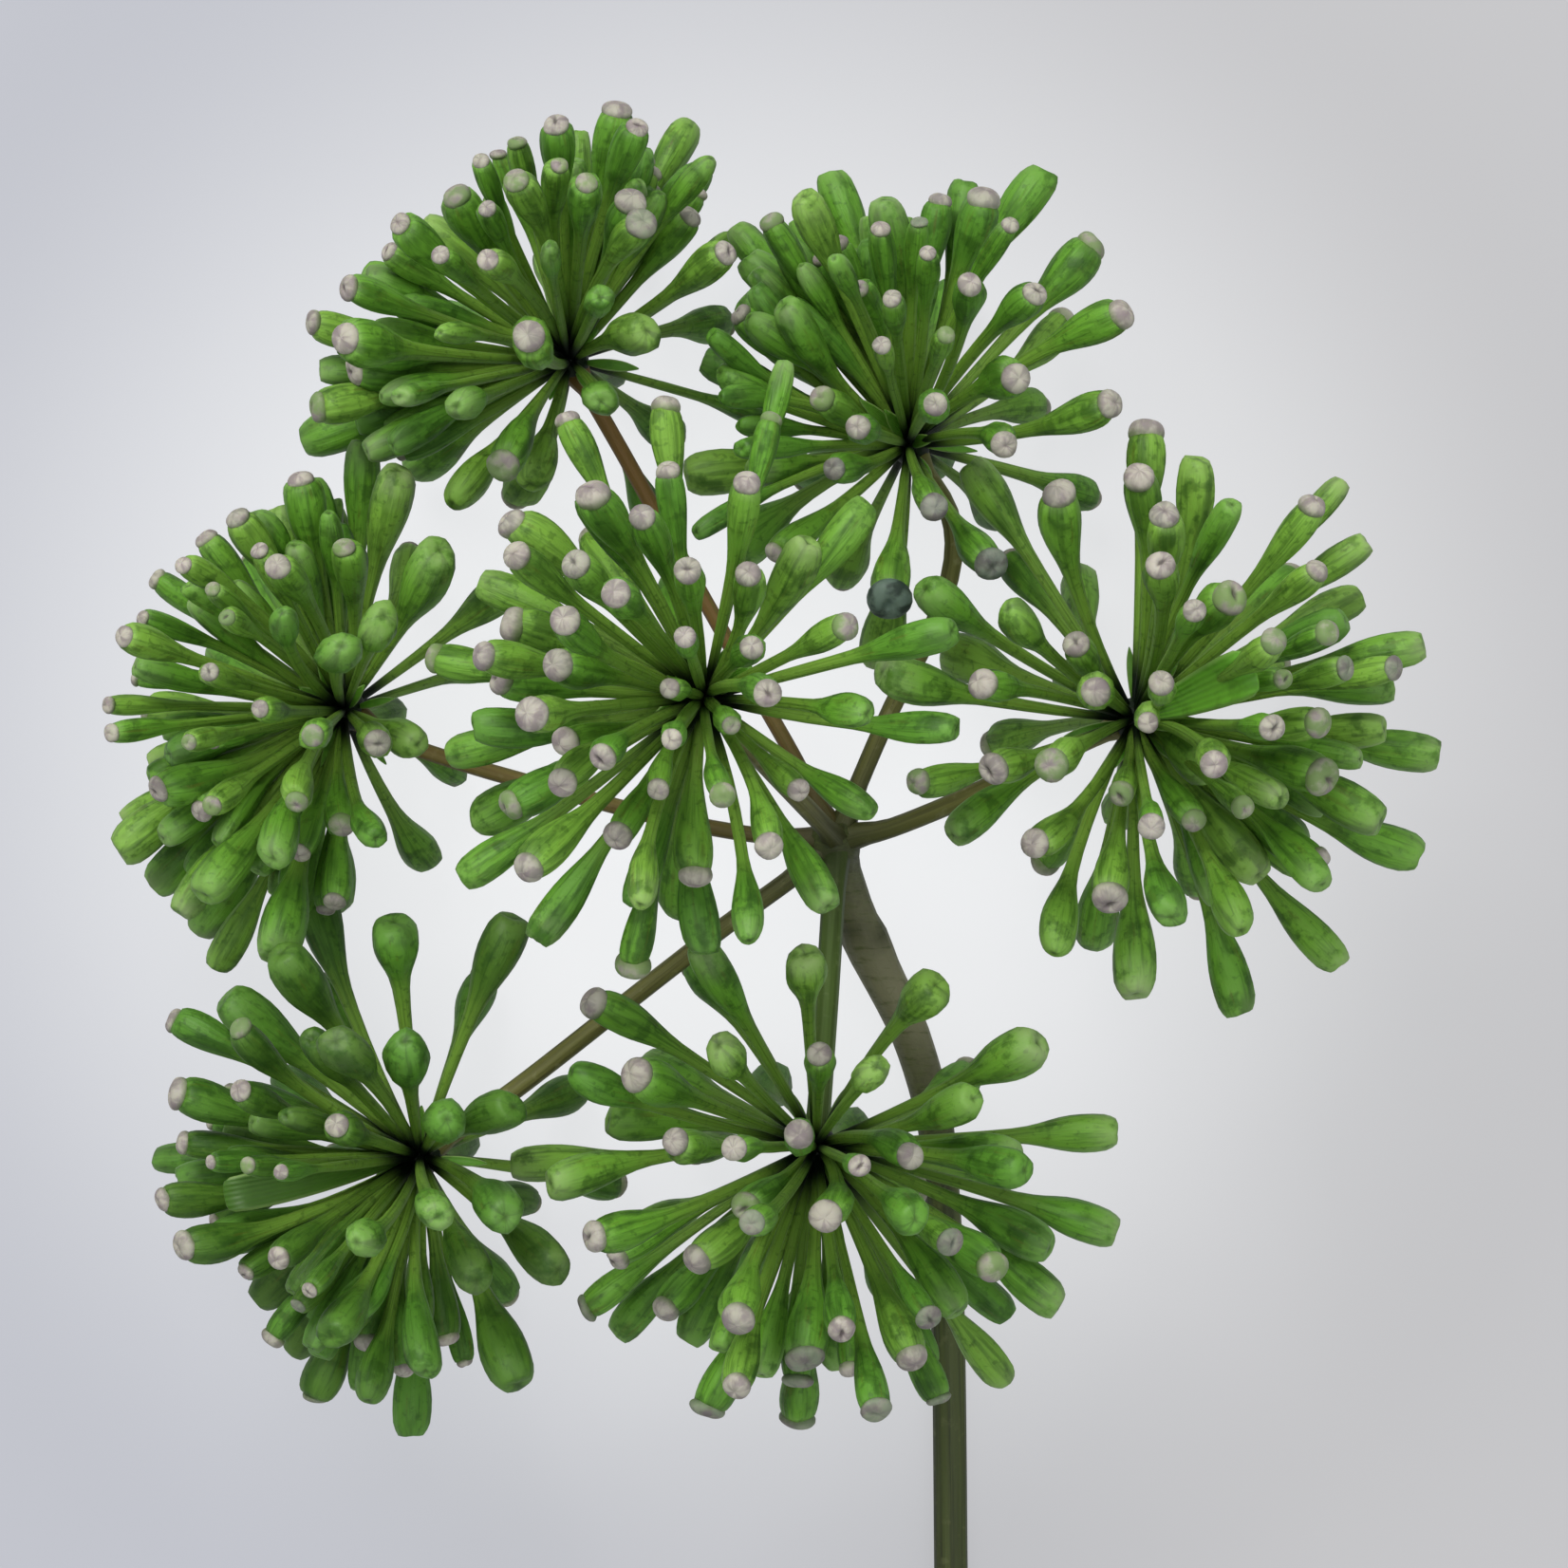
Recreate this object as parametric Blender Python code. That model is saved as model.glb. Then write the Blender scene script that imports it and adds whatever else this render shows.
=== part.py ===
"""A cut angelica head lying on its back: seven burr-shaped umbellets on rays, and a stem along the surface.

Metres, +Z up from the surface it lies on. The head is at +Y and the stem runs towards -Y.
"""

import math

import bmesh
import bpy
import numpy as np
from mathutils import Vector

# How the photograph is read: the eye looks straight down at the surface.
PIXEL = 0.00008  # what one photograph pixel spans at the umbellets' level
EYE_HEIGHT = 0.450
READ_LEVEL = 0.020
VIEW_CENTRE = (826, 826)  # the photograph's middle pixel, which lies under the eye
ORIGIN_PIXEL = (808, 1632)  # the pixel over the frame's origin, at the read level

# Florets: a thin pedicel that swells into a club, with or without a closed bud on its end.
FLORET_SIDES = 4
PEDICEL_BASE_RADIUS = 0.00050
PEDICEL_RADIUS = 0.00068
CLUB_RADIUS = 0.00240
BUD_END_RADIUS = 0.00125
PLAIN_END_RADIUS = 0.00185
CLUB_LENGTH = 0.0098
BELLY_FROM_END = 0.0034
ROOT_SHARE = 0.04  # of a floret's length, where its pedicel starts inside the hub
HUB_RADIUS = 0.0026

# Spacing: florets of one umbellet may press together, and those of two umbellets stay clear.
CLEAR_GAP = 0.00040
PRESSED_GAP = -0.00175
WORTH_MOVING = 0.00020  # another depth is taken only if it opens the gap by this
DEPTH_STEP = 0.0012
DEPTH_STEPS = 14
NUDGE = 9  # pixels that a crowded floret's end may move in the photograph
SHORTEST, LONGEST = 0.70, 1.32  # of an umbellet's usual floret length
TEST_SHARES = np.linspace(0.16, 1.0, 18)  # where along a floret its gaps are measured
CROWDED_SHARE = 0.50  # inside this its own neighbours touch it anyway
SWELL_SHARE = 0.40  # of a club's length, by which it is at its full width
SURFACE_SHARE = 0.75  # of a floret's radius, which stays above the surface
SURFACE_PRESS = 0.0004

# Hidden florets fill the side away from the eye.
FILL_DIRECTIONS = 84
FILL_RISE = 0.1  # the steepest that one points towards the eye
FILL_RIM = 0.80  # they stay inside this share of the outline
FILL_LENGTHS = (1.0, 0.92, 0.84)
FILL_PLAIN_EVERY = 3
RESTING_LIFT = 0.0008  # of a slanting floret's end above the surface, so that its rim rests on it

# Stem and rays.
STEM_SIDES = 8
RAY_SIDES = 6
RAY_RADIUS = 0.00095
NODE_PIXEL = (882, 885)
NODE_HEIGHT = 0.0125
NODE_RADIUS = 0.0027
SEAT_GAP = 0.0003
SHORTEST_STEP = 0.0010
RAY_STEP = 0.0055
STEM_STEP = 0.0080
STEM_ROOM = 0.0002  # extra room beside the stem
CUT_SLANT = 0.45  # how far the cut end leans, as rise over run

# The stem's middle line as (pixel x, pixel y, height, radius); the photograph ends at y 1652.
STEM_ROUTE = [
    (877, 873, 0.0140, 0.00150),
    (882, 885, 0.0125, 0.00260),
    (890, 905, 0.0105, 0.00220),
    (905, 940, 0.0082, 0.00202),
    (932, 1005, 0.0056, 0.00188),
    (965, 1090, 0.0034, 0.00165),
    (985, 1180, 0.0021, 0.00155),
    (995, 1290, 0.0016, 0.00148),
    (1000, 1450, 0.00148, 0.00143),
    (1002, 1650, 0.00148, 0.00143),
    (1006, 1900, 0.00150, 0.00145),
    (1001, 2150, 0.00153, 0.00148),
    (986, 2400, 0.00155, 0.00150),
    (966, 2650, 0.00158, 0.00153),
    (944, 2880, 0.00160, 0.00155),
    (926, 3050, 0.00160, 0.00155),
]

# Each umbellet: its hub in the photograph, the hub's height, its florets' usual length,
# the pixels its ray passes, and the ends of the florets that the photograph shows.
UMBELLETS = {
    "centre": {
        "hub": (742, 735), "height": 0.050, "reach": 0.0222,
        "ray": [(845, 846), (790, 788)],
        "budded": [
            (592, 435), (617, 513), (674, 537), (703, 487), (698, 417), (789, 500),
            (814, 434), (724, 595), (791, 598), (531, 544), (537, 578), (603, 589),
            (646, 622), (588, 651), (529, 652), (502, 690), (448, 692), (580, 698),
            (722, 670), (795, 682), (715, 716), (812, 729), (771, 765), (709, 780),
            (553, 755), (586, 783), (633, 798), (586, 828), (529, 853), (549, 922),
            (693, 836), (762, 841), (845, 836), (646, 889), (732, 933), (813, 897),
            (662, 1031), (896, 655),
        ],
        "plain": [
            (828, 381), (498, 765), (472, 795), (503, 866), (486, 928), (674, 955),
            (789, 994), (564, 991), (922, 858), (915, 753), (1008, 768), (1005, 664),
            (852, 571), (914, 529), (507, 612), (873, 956),
        ],
    },
    "left": {
        "hub": (363, 748), "height": 0.0195, "reach": 0.0220,
        "ray": [(800, 880), (700, 862), (600, 836), (500, 808), (430, 785)],
        "budded": [
            (248, 540), (272, 577), (290, 592), (212, 562), (189, 592), (160, 606),
            (221, 619), (237, 649), (146, 649), (126, 668), (217, 708), (138, 714),
            (273, 747), (109, 743), (149, 749), (113, 773), (196, 782), (221, 782),
            (160, 834), (220, 851), (311, 846), (360, 874), (329, 776), (399, 783),
            (363, 572), (316, 498),
        ],
        "plain": [
            (293, 534), (297, 645), (279, 687), (171, 769), (156, 806), (131, 864),
            (124, 897), (161, 935), (189, 963), (215, 944), (288, 906), (396, 884),
            (292, 945), (211, 982), (227, 1021), (289, 1011), (431, 776), (404, 647),
            (360, 680), (350, 534), (384, 464), (419, 494), (463, 578),
        ],
    },
    "top_left": {
        "hub": (600, 380), "height": 0.020, "reach": 0.0232,
        "ray": [(838, 800), (775, 690), (715, 583), (655, 475)],
        "budded": [
            (652, 108), (673, 128), (587, 125), (543, 145), (505, 165), (522, 158),
            (588, 171), (543, 186), (571, 192), (618, 189), (687, 173), (667, 208),
            (677, 232), (477, 200), (512, 217), (418, 232), (405, 262), (462, 267),
            (503, 263), (362, 300), (323, 338), (357, 356), (556, 355), (768, 263),
            (327, 432), (528, 495),
        ],
        "plain": [
            (728, 130), (750, 165), (612, 138), (578, 258), (441, 237), (384, 288),
            (462, 350), (633, 313), (681, 348), (320, 465), (420, 418), (480, 428),
            (475, 532), (557, 512), (633, 423),
        ],
    },
    "top_right": {
        "hub": (957, 468), "height": 0.020, "reach": 0.0235,
        "ray": [(905, 825), (940, 745), (985, 655), (1004, 590), (1000, 540), (978, 498)],
        "budded": [
            (808, 227), (969, 231), (978, 263), (1040, 199), (1067, 232), (1156, 250),
            (1190, 326), (1094, 305), (1022, 295), (941, 312), (905, 299), (835, 269),
            (929, 362), (996, 351), (1075, 394), (1177, 424), (987, 425), (902, 450),
            (862, 418), (876, 496), (985, 537), (1061, 467), (1048, 600), (935, 640),
        ],
        "plain": [
            (774, 240), (846, 206), (874, 182), (931, 210), (1017, 190), (1102, 180),
            (878, 271), (749, 352), (783, 392), (740, 378), (758, 418), (785, 438),
            (779, 473), (722, 500), (733, 562),
        ],
    },
    "right": {
        "hub": (1195, 757), "height": 0.025, "reach": 0.0250,
        "ray": [(940, 872), (1000, 848), (1060, 820), (1130, 787)],
        "budded": [
            (1208, 441), (1200, 491), (1229, 535), (1223, 590), (1391, 526), (1393, 598),
            (1260, 640), (1299, 624), (1474, 702), (1421, 702), (1403, 663), (1346, 675),
            (1355, 714), (1395, 760), (1344, 767), (1224, 720), (1154, 728), (1209, 760),
            (1283, 807), (1405, 820), (1313, 853), (1182, 839), (1215, 874), (1262, 869),
            (1167, 953), (1087, 896), (960, 827), (1042, 811), (1105, 809), (1030, 722),
            (1130, 676), (1113, 510),
        ],
        "plain": [
            (1262, 483), (1299, 530), (1415, 507), (1440, 570), (1434, 627), (1501, 679),
            (1459, 769), (1517, 795), (1455, 865), (1497, 903), (1350, 842), (1394, 932),
            (1327, 923), (1309, 983), (1413, 1018), (1307, 1069), (1196, 1049),
            (1234, 967), (1110, 1006), (1003, 881), (928, 708), (974, 619), (1061, 640),
            (1022, 488),
        ],
    },
    "lower_left": {
        "hub": (443, 1218), "height": 0.020, "reach": 0.0230,
        "ray": [(830, 928), (765, 975), (700, 1025), (630, 1080), (540, 1150)],
        "budded": [
            (177, 1071), (248, 1080), (179, 1149), (248, 1148), (230, 1155), (352, 1186),
            (219, 1224), (258, 1228), (294, 1235), (164, 1264), (221, 1292), (186, 1315),
            (290, 1329), (325, 1361), (312, 1378), (282, 1416), (371, 1388), (329, 1476),
        ],
        "plain": [
            (414, 970), (540, 966), (427, 1094), (237, 1051), (327, 1094), (353, 1096),
            (309, 1185), (166, 1220), (375, 1309), (271, 1371), (310, 1425), (387, 1478),
            (349, 1409), (432, 1513), (449, 1446), (545, 1459), (503, 1351), (533, 1283),
            (461, 1282), (471, 1179), (541, 1166), (589, 1338), (330, 935), (296, 1003),
        ],
    },
    "lower_centre": {
        "hub": (860, 1207), "height": 0.025, "reach": 0.0245,
        "ray": [(877, 960), (872, 1040), (866, 1125)],
        "budded": [
            (840, 1193), (616, 1050), (864, 1107), (663, 1128), (707, 1205), (771, 1210),
            (619, 1309), (781, 1273), (791, 1290), (872, 1286), (907, 1229), (963, 1219),
            (1004, 1311), (1056, 1340), (981, 1392), (965, 1441), (992, 1479), (924, 1492),
            (888, 1407), (845, 1440), (840, 1462), (840, 1503), (774, 1470), (741, 1492),
            (774, 1396), (728, 1334), (693, 1387), (613, 1383),
        ],
        "plain": [
            (736, 998), (848, 1005), (986, 1037), (924, 1124), (756, 1100), (1094, 1098),
            (1178, 1191), (1177, 1299), (1026, 1157), (1080, 1233), (600, 1129),
            (640, 1179), (538, 1227), (578, 1247), (964, 1285), (1106, 1316),
            (1116, 1378), (1062, 1387), (1058, 1455), (890, 1442), (650, 1406),
            (724, 1414),
        ],
    },
}


def clear_scene():
    for obj in list(bpy.data.objects):
        bpy.data.objects.remove(obj)


def place(pixel, height):
    """The point at that height which the photograph shows at that pixel."""
    scale = PIXEL * (EYE_HEIGHT - height) / (EYE_HEIGHT - READ_LEVEL)
    east = (VIEW_CENTRE[0] - ORIGIN_PIXEL[0]) * PIXEL + (pixel[0] - VIEW_CENTRE[0]) * scale
    south = (VIEW_CENTRE[1] - ORIGIN_PIXEL[1]) * PIXEL + (pixel[1] - VIEW_CENTRE[1]) * scale
    return Vector((east, -south, height))


def smooth_route(points, step):
    """Points about a step apart on a smooth curve through the given ones (Catmull-Rom)."""
    padded = [2 * points[0] - points[1], *points, 2 * points[-1] - points[-2]]
    route = []
    for before, start, end, after in zip(padded, padded[1:], padded[2:], padded[3:]):
        pieces = max(1, round((end - start).length / step))
        for i in range(pieces):
            t = i / pieces
            route.append(
                0.5 * (2 * start + (end - before) * t
                       + (2 * before - 5 * start + 4 * end - after) * t * t
                       + (3 * start - before - 3 * end + after) * t ** 3)
            )
    return [*route, points[-1]]


def add_tube(mesh, points, radii, sides):
    """A closed tube through the points, made by extruding its end face from ring to ring."""
    last = len(points) - 1
    tangents = [
        (points[min(i + 1, last)] - points[max(i - 1, 0)]).normalized() for i in range(last + 1)
    ]
    across = tangents[0].orthogonal().normalized()
    rings = []
    for point, tangent, radius in zip(points, tangents, radii):
        across = (across - tangent * across.dot(tangent)).normalized()
        other = tangent.cross(across)
        turns = [math.tau * k / sides for k in range(sides)]
        rings.append([
            point + (across * math.cos(turn) + other * math.sin(turn)) * radius for turn in turns
        ])
    corners = [mesh.verts.new(co) for co in rings[0]]
    made = bmesh.ops.extrude_face_region(mesh, geom=[mesh.faces.new(corners)])
    end = next(item for item in made["geom"] if isinstance(item, bmesh.types.BMFace))
    for index, ring in enumerate(rings[1:]):
        if index:
            end = bmesh.ops.extrude_discrete_faces(mesh, faces=[end])["faces"][0]
        for corner, co in zip(end.verts, ring):
            corner.co = co


def cut_slanting(mesh, route, radius):
    """Cuts the tube's far end off on a slant and closes it with one face."""
    tangent = (route[-1] - route[-2]).normalized()
    slanted = (tangent + Vector((0, 0, CUT_SLANT))).normalized()
    cut = bmesh.ops.bisect_plane(
        mesh, geom=[*mesh.verts, *mesh.edges, *mesh.faces],
        plane_co=route[-1] - tangent * radius * CUT_SLANT * 1.5, plane_no=slanted, clear_outer=True,
    )
    rim = [item for item in cut["geom_cut"] if isinstance(item, bmesh.types.BMEdge)]
    bmesh.ops.contextual_create(mesh, geom=rim)


def make_object(name, mesh, material):
    """Closes a bmesh into an object. What would reach under the surface lies flat on it."""
    for corner in mesh.verts:
        corner.co.z = max(corner.co.z, 0.0)
    bmesh.ops.recalc_face_normals(mesh, faces=mesh.faces)
    data = bpy.data.meshes.new(name)
    mesh.to_mesh(data)
    mesh.free()
    data.shade_smooth()
    data.set_sharp_from_angle(angle=math.radians(50))
    data.materials.append(material)
    obj = bpy.data.objects.new(name, data)
    bpy.context.scene.collection.objects.link(obj)
    return obj


def make_material(name, colour, roughness):
    material = bpy.data.materials.new(name)
    material.use_nodes = True
    surface = material.node_tree.nodes["Principled BSDF"]
    surface.inputs["Base Color"].default_value = (*colour, 1.0)
    surface.inputs["Roughness"].default_value = roughness
    surface.inputs["Metallic"].default_value = 0.0
    return material


class Obstacles:
    """Straight stretches with a radius, which a new floret has to stay clear of."""

    def __init__(self):
        self.starts = []
        self.ends = []
        self.radii = []
        self.owners = []

    def add(self, start, end, radius, owner):
        self.starts.append(tuple(start))
        self.ends.append(tuple(end))
        self.radii.append(radius)
        self.owners.append(owner)

    def add_route(self, route, radii, owner):
        for start, end, radius in zip(route, route[1:], radii):
            self.add(start, end, radius, owner)

    def gaps(self, points, radii, owner):
        """The smallest gap to the owner's own stretches, and to those of all others."""
        starts = np.array(self.starts)
        along = np.array(self.ends) - starts
        reach = points[:, None, :] - starts[None, :, :]
        share = np.clip((reach * along).sum(2) / (along * along).sum(1), 0.0, 1.0)
        nearest = reach - share[:, :, None] * along
        gap = np.linalg.norm(nearest, axis=2) - radii[:, None] - np.array(self.radii)
        own = np.array([name == owner for name in self.owners])
        own_gap = gap[TEST_SHARES >= CROWDED_SHARE][:, own].min()
        return own_gap, gap[:, ~own].min()


def floret_stations(hub, tip):
    """Where a floret's pedicel ends and its club is widest, between its hub and its end."""
    away = (tip - hub).normalized()
    club = min(CLUB_LENGTH, 0.5 * (tip - hub).length)
    return tip - away * club, tip - away * min(BELLY_FROM_END, SWELL_SHARE * club)


def keep_clear(hub, tip, name, obstacles):
    """Later florets stay clear of this one's pedicel, and of its club between its rounded ends."""
    neck, belly = floret_stations(hub, tip)
    away = (tip - hub).normalized()
    obstacles.add(hub + away * HUB_RADIUS, neck, PEDICEL_RADIUS, name)
    obstacles.add(neck.lerp(belly, SWELL_SHARE), belly.lerp(tip, 1 - SWELL_SHARE), CLUB_RADIUS, name)


def floret_gap(hub, tip, name, obstacles):
    """The gap to the umbellet's own florets, or None where this one would hit something else."""
    neck, _ = floret_stations(hub, tip)
    points = np.array(hub) + TEST_SHARES[:, None] * np.array(tip - hub)
    club_share = (neck - hub).length / (tip - hub).length
    swell = np.clip((TEST_SHARES - club_share) / (1 - club_share) / SWELL_SHARE, 0.0, 1.0)
    radii = PEDICEL_RADIUS + (CLUB_RADIUS - PEDICEL_RADIUS) * swell
    if (points[:, 2] - SURFACE_SHARE * radii < -SURFACE_PRESS).any():
        return None
    own_gap, other_gap = obstacles.gaps(points, radii, name)
    return own_gap if other_gap >= CLEAR_GAP else None


def seen_tip(pixel, hub, reach, shift):
    """A floret's end at a photograph pixel: at its usual length it comes towards the eye."""
    height = hub.z
    for _ in range(4):
        offset = place(pixel, height) - hub
        rise = reach * reach - offset.x * offset.x - offset.y * offset.y
        height = hub.z + math.sqrt(max(rise, 0.0)) + shift
    return place(pixel, height)


def best_tip(pixel, hub, name, reach, obstacles):
    """(gap, end) of a floret seen at the pixel, at the depth where it is clear or presses least."""
    best = None
    for step in sorted(range(-DEPTH_STEPS, DEPTH_STEPS + 1), key=abs):
        tip = seen_tip(pixel, hub, reach, step * DEPTH_STEP)
        if not SHORTEST * reach <= (tip - hub).length <= LONGEST * reach:
            continue
        gap = floret_gap(hub, tip, name, obstacles)
        if gap is None or (best and gap <= best[0] + WORTH_MOVING):
            continue
        best = (gap, tip)
        if gap >= CLEAR_GAP:
            break
    return best


def shown_florets(name, umbellet, hub, obstacles):
    """The florets that the photograph shows, each leaning to a depth where it is clear."""
    florets = []
    pixels = [(pixel, kind) for kind in ("budded", "plain") for pixel in umbellet[kind]]
    for (east, south), kind in pixels:
        best = best_tip((east, south), hub, name, umbellet["reach"], obstacles)
        if best is None or best[0] < PRESSED_GAP:
            nudged = [
                best_tip((east + right, south + down), hub, name, umbellet["reach"], obstacles)
                for right in (-NUDGE, 0, NUDGE) for down in (-NUDGE, 0, NUDGE)
            ]
            best = max((found for found in nudged if found), key=lambda found: found[0], default=None)
        if best and best[0] >= PRESSED_GAP:
            florets.append((best[1], kind))
            keep_clear(hub, best[1], name, obstacles)
    return florets


def hidden_florets(name, umbellet, hub, obstacles):
    """Florets on the side away from the eye, spread evenly, shortened where they meet the surface."""
    florets = []
    golden = math.pi * (3 - math.sqrt(5))
    for k in range(FILL_DIRECTIONS):
        rise = -1 + 2 * (k + 0.5) / FILL_DIRECTIONS
        rim = math.sqrt(1 - rise * rise)
        if rise > FILL_RISE or rim > FILL_RIM:
            continue
        away = Vector((rim * math.cos(k * golden), rim * math.sin(k * golden), rise))
        longest = min(umbellet["reach"], (hub.z - RESTING_LIFT * rim) / -rise)
        for share in FILL_LENGTHS:
            tip = hub + away * longest * share
            gap = floret_gap(hub, tip, name, obstacles)
            if gap is None or gap < CLEAR_GAP or longest * share < SHORTEST * umbellet["reach"]:
                continue
            florets.append((tip, "budded" if k % FILL_PLAIN_EVERY else "plain"))
            keep_clear(hub, tip, name, obstacles)
            break
    return florets


def make_stem(material):
    """The stem, thickened at the node where the rays part. Returns its middle line and radii."""
    given = [place((x, y), height) for x, y, height, _ in STEM_ROUTE]
    route = smooth_route(given, STEM_STEP)
    radii = np.interp(
        [-point.y for point in route], [-point.y for point in given], [row[3] for row in STEM_ROUTE]
    )
    tube = bmesh.new()
    add_tube(tube, route, radii, STEM_SIDES)
    cut_slanting(tube, route, radii[-1])
    make_object("main_stem", tube, material)
    return route, radii


def ray_route(umbellet, node, hub):
    """The ray's middle line, from just off the stem's node to just off the hub."""
    pixels = umbellet["ray"]
    points = [node]
    for k, pixel in enumerate(pixels, start=1):
        points.append(place(pixel, node.z + (hub.z - node.z) * k / (len(pixels) + 1)))
    points.append(hub)
    from_node = NODE_RADIUS + SEAT_GAP
    from_hub = HUB_RADIUS + SEAT_GAP
    inner = [
        point for point in smooth_route(points, RAY_STEP)
        if (point - node).length > from_node + SHORTEST_STEP
        and (point - hub).length > from_hub + SHORTEST_STEP
    ]
    first = node + (inner[0] - node).normalized() * from_node
    last = hub + (inner[-1] - hub).normalized() * from_hub
    return [first, *inner, last]


def make_ray(name, route, material):
    tube = bmesh.new()
    add_tube(tube, route, [RAY_RADIUS] * len(route), RAY_SIDES)
    make_object(f"ray_{name}", tube, material)


def make_umbellet(name, hub, florets, material):
    """One solid: the florets joined at their hub."""
    clubs = bmesh.new()
    for tip, kind in florets:
        neck, belly = floret_stations(hub, tip)
        end_radius = BUD_END_RADIUS if kind == "budded" else PLAIN_END_RADIUS
        add_tube(
            clubs, [hub.lerp(tip, ROOT_SHARE), neck, belly, tip],
            [PEDICEL_BASE_RADIUS, PEDICEL_RADIUS, CLUB_RADIUS, end_radius], FLORET_SIDES,
        )
    cluster = make_object(f"umbellet_{name}_florets", clubs, material)
    cluster.hide_render = True
    cluster.display_type = "WIRE"
    ball = bmesh.new()
    bmesh.ops.create_icosphere(ball, subdivisions=1, radius=HUB_RADIUS)
    bmesh.ops.translate(ball, vec=hub, verts=ball.verts)
    union = make_object(f"umbellet_{name}", ball, material).modifiers.new("join_florets", "BOOLEAN")
    union.operation = "UNION"
    union.object = cluster
    union.use_self = True


def main():
    clear_scene()
    green = make_material("floret_green", (0.078, 0.231, 0.026), 0.45)
    olive = make_material("ray_olive", (0.130, 0.120, 0.045), 0.55)
    bark = make_material("stem_olive", (0.115, 0.115, 0.060), 0.60)

    obstacles = Obstacles()
    stem, radii = make_stem(bark)
    obstacles.add_route(stem, radii + STEM_ROOM, "stem")
    node = place(NODE_PIXEL, NODE_HEIGHT)
    hubs = {name: place(item["hub"], item["height"]) for name, item in UMBELLETS.items()}
    for name, umbellet in UMBELLETS.items():
        route = ray_route(umbellet, node, hubs[name])
        make_ray(name, route, olive)
        obstacles.add_route(route, [RAY_RADIUS] * len(route), "rays")
        obstacles.add(hubs[name], hubs[name] + Vector((0, 0, SEAT_GAP)), HUB_RADIUS, name)

    florets = {name: shown_florets(name, item, hubs[name], obstacles) for name, item in UMBELLETS.items()}
    for name, umbellet in UMBELLETS.items():
        florets[name] += hidden_florets(name, umbellet, hubs[name], obstacles)
        make_umbellet(name, hubs[name], florets[name], green)
        print(f"{name}: {len(florets[name])} florets")


main()
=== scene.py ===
import math
import random

import bmesh
import bpy
from mathutils import Matrix, Vector


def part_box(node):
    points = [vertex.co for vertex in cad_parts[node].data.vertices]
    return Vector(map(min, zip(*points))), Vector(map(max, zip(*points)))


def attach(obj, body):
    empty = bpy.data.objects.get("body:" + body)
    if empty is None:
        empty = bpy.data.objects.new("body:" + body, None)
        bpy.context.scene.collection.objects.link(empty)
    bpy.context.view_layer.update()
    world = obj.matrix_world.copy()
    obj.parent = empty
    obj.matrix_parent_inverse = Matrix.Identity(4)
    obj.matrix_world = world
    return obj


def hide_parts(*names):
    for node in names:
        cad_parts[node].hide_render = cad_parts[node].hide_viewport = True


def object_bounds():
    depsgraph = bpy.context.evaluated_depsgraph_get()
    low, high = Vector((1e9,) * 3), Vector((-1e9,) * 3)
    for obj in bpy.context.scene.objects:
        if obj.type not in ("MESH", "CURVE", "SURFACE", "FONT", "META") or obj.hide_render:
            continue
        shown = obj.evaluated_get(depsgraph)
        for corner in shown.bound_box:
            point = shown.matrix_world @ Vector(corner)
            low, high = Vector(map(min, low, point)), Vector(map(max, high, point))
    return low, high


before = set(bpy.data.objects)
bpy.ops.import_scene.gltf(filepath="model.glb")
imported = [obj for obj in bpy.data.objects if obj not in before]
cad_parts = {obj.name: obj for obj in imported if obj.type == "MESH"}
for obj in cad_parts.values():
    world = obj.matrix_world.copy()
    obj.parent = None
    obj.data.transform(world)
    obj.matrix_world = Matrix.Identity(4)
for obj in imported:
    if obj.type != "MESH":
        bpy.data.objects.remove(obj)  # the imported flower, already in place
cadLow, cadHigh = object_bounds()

mm = 0.001
scene = bpy.context.scene
chance = random.Random(11)

# The camera looks straight down on the flower, as the photograph looks along its axis.
cameraSet = {
    "pixel": 0.00008,  # metres across one pixel of the picture, at the height that was read
    "readHeight": 0.020,
    "eyeHeight": 0.450,
    "pictureSize": 1652,
    "originPixel": (808, 1632),  # the pixel that looks at the part's origin
    "sensor": 36,
}
eyeX = (cameraSet["pictureSize"] / 2 - cameraSet["originPixel"][0]) * cameraSet["pixel"]
eyeY = (cameraSet["originPixel"][1] - cameraSet["pictureSize"] / 2) * cameraSet["pixel"]


def atPixel(x, y, height):
    # the point at this height that the camera sees at pixel x, y
    drop = cameraSet["eyeHeight"] - height
    scale = cameraSet["pixel"] * drop / (cameraSet["eyeHeight"] - cameraSet["readHeight"])
    half = cameraSet["pictureSize"] / 2
    return Vector((eyeX + (x - half) * scale, eyeY - (y - half) * scale, height))


def addCamera():
    camera = bpy.data.cameras.new("camera")
    camera.sensor_width = cameraSet["sensor"]
    across = cameraSet["pictureSize"] * cameraSet["pixel"]
    drop = cameraSet["eyeHeight"] - cameraSet["readHeight"]
    camera.lens = cameraSet["sensor"] * drop / across
    holder = bpy.data.objects.new("camera", camera)
    holder.location = (eyeX, eyeY, cameraSet["eyeHeight"])
    scene.collection.objects.link(holder)
    scene.camera = holder


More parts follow.
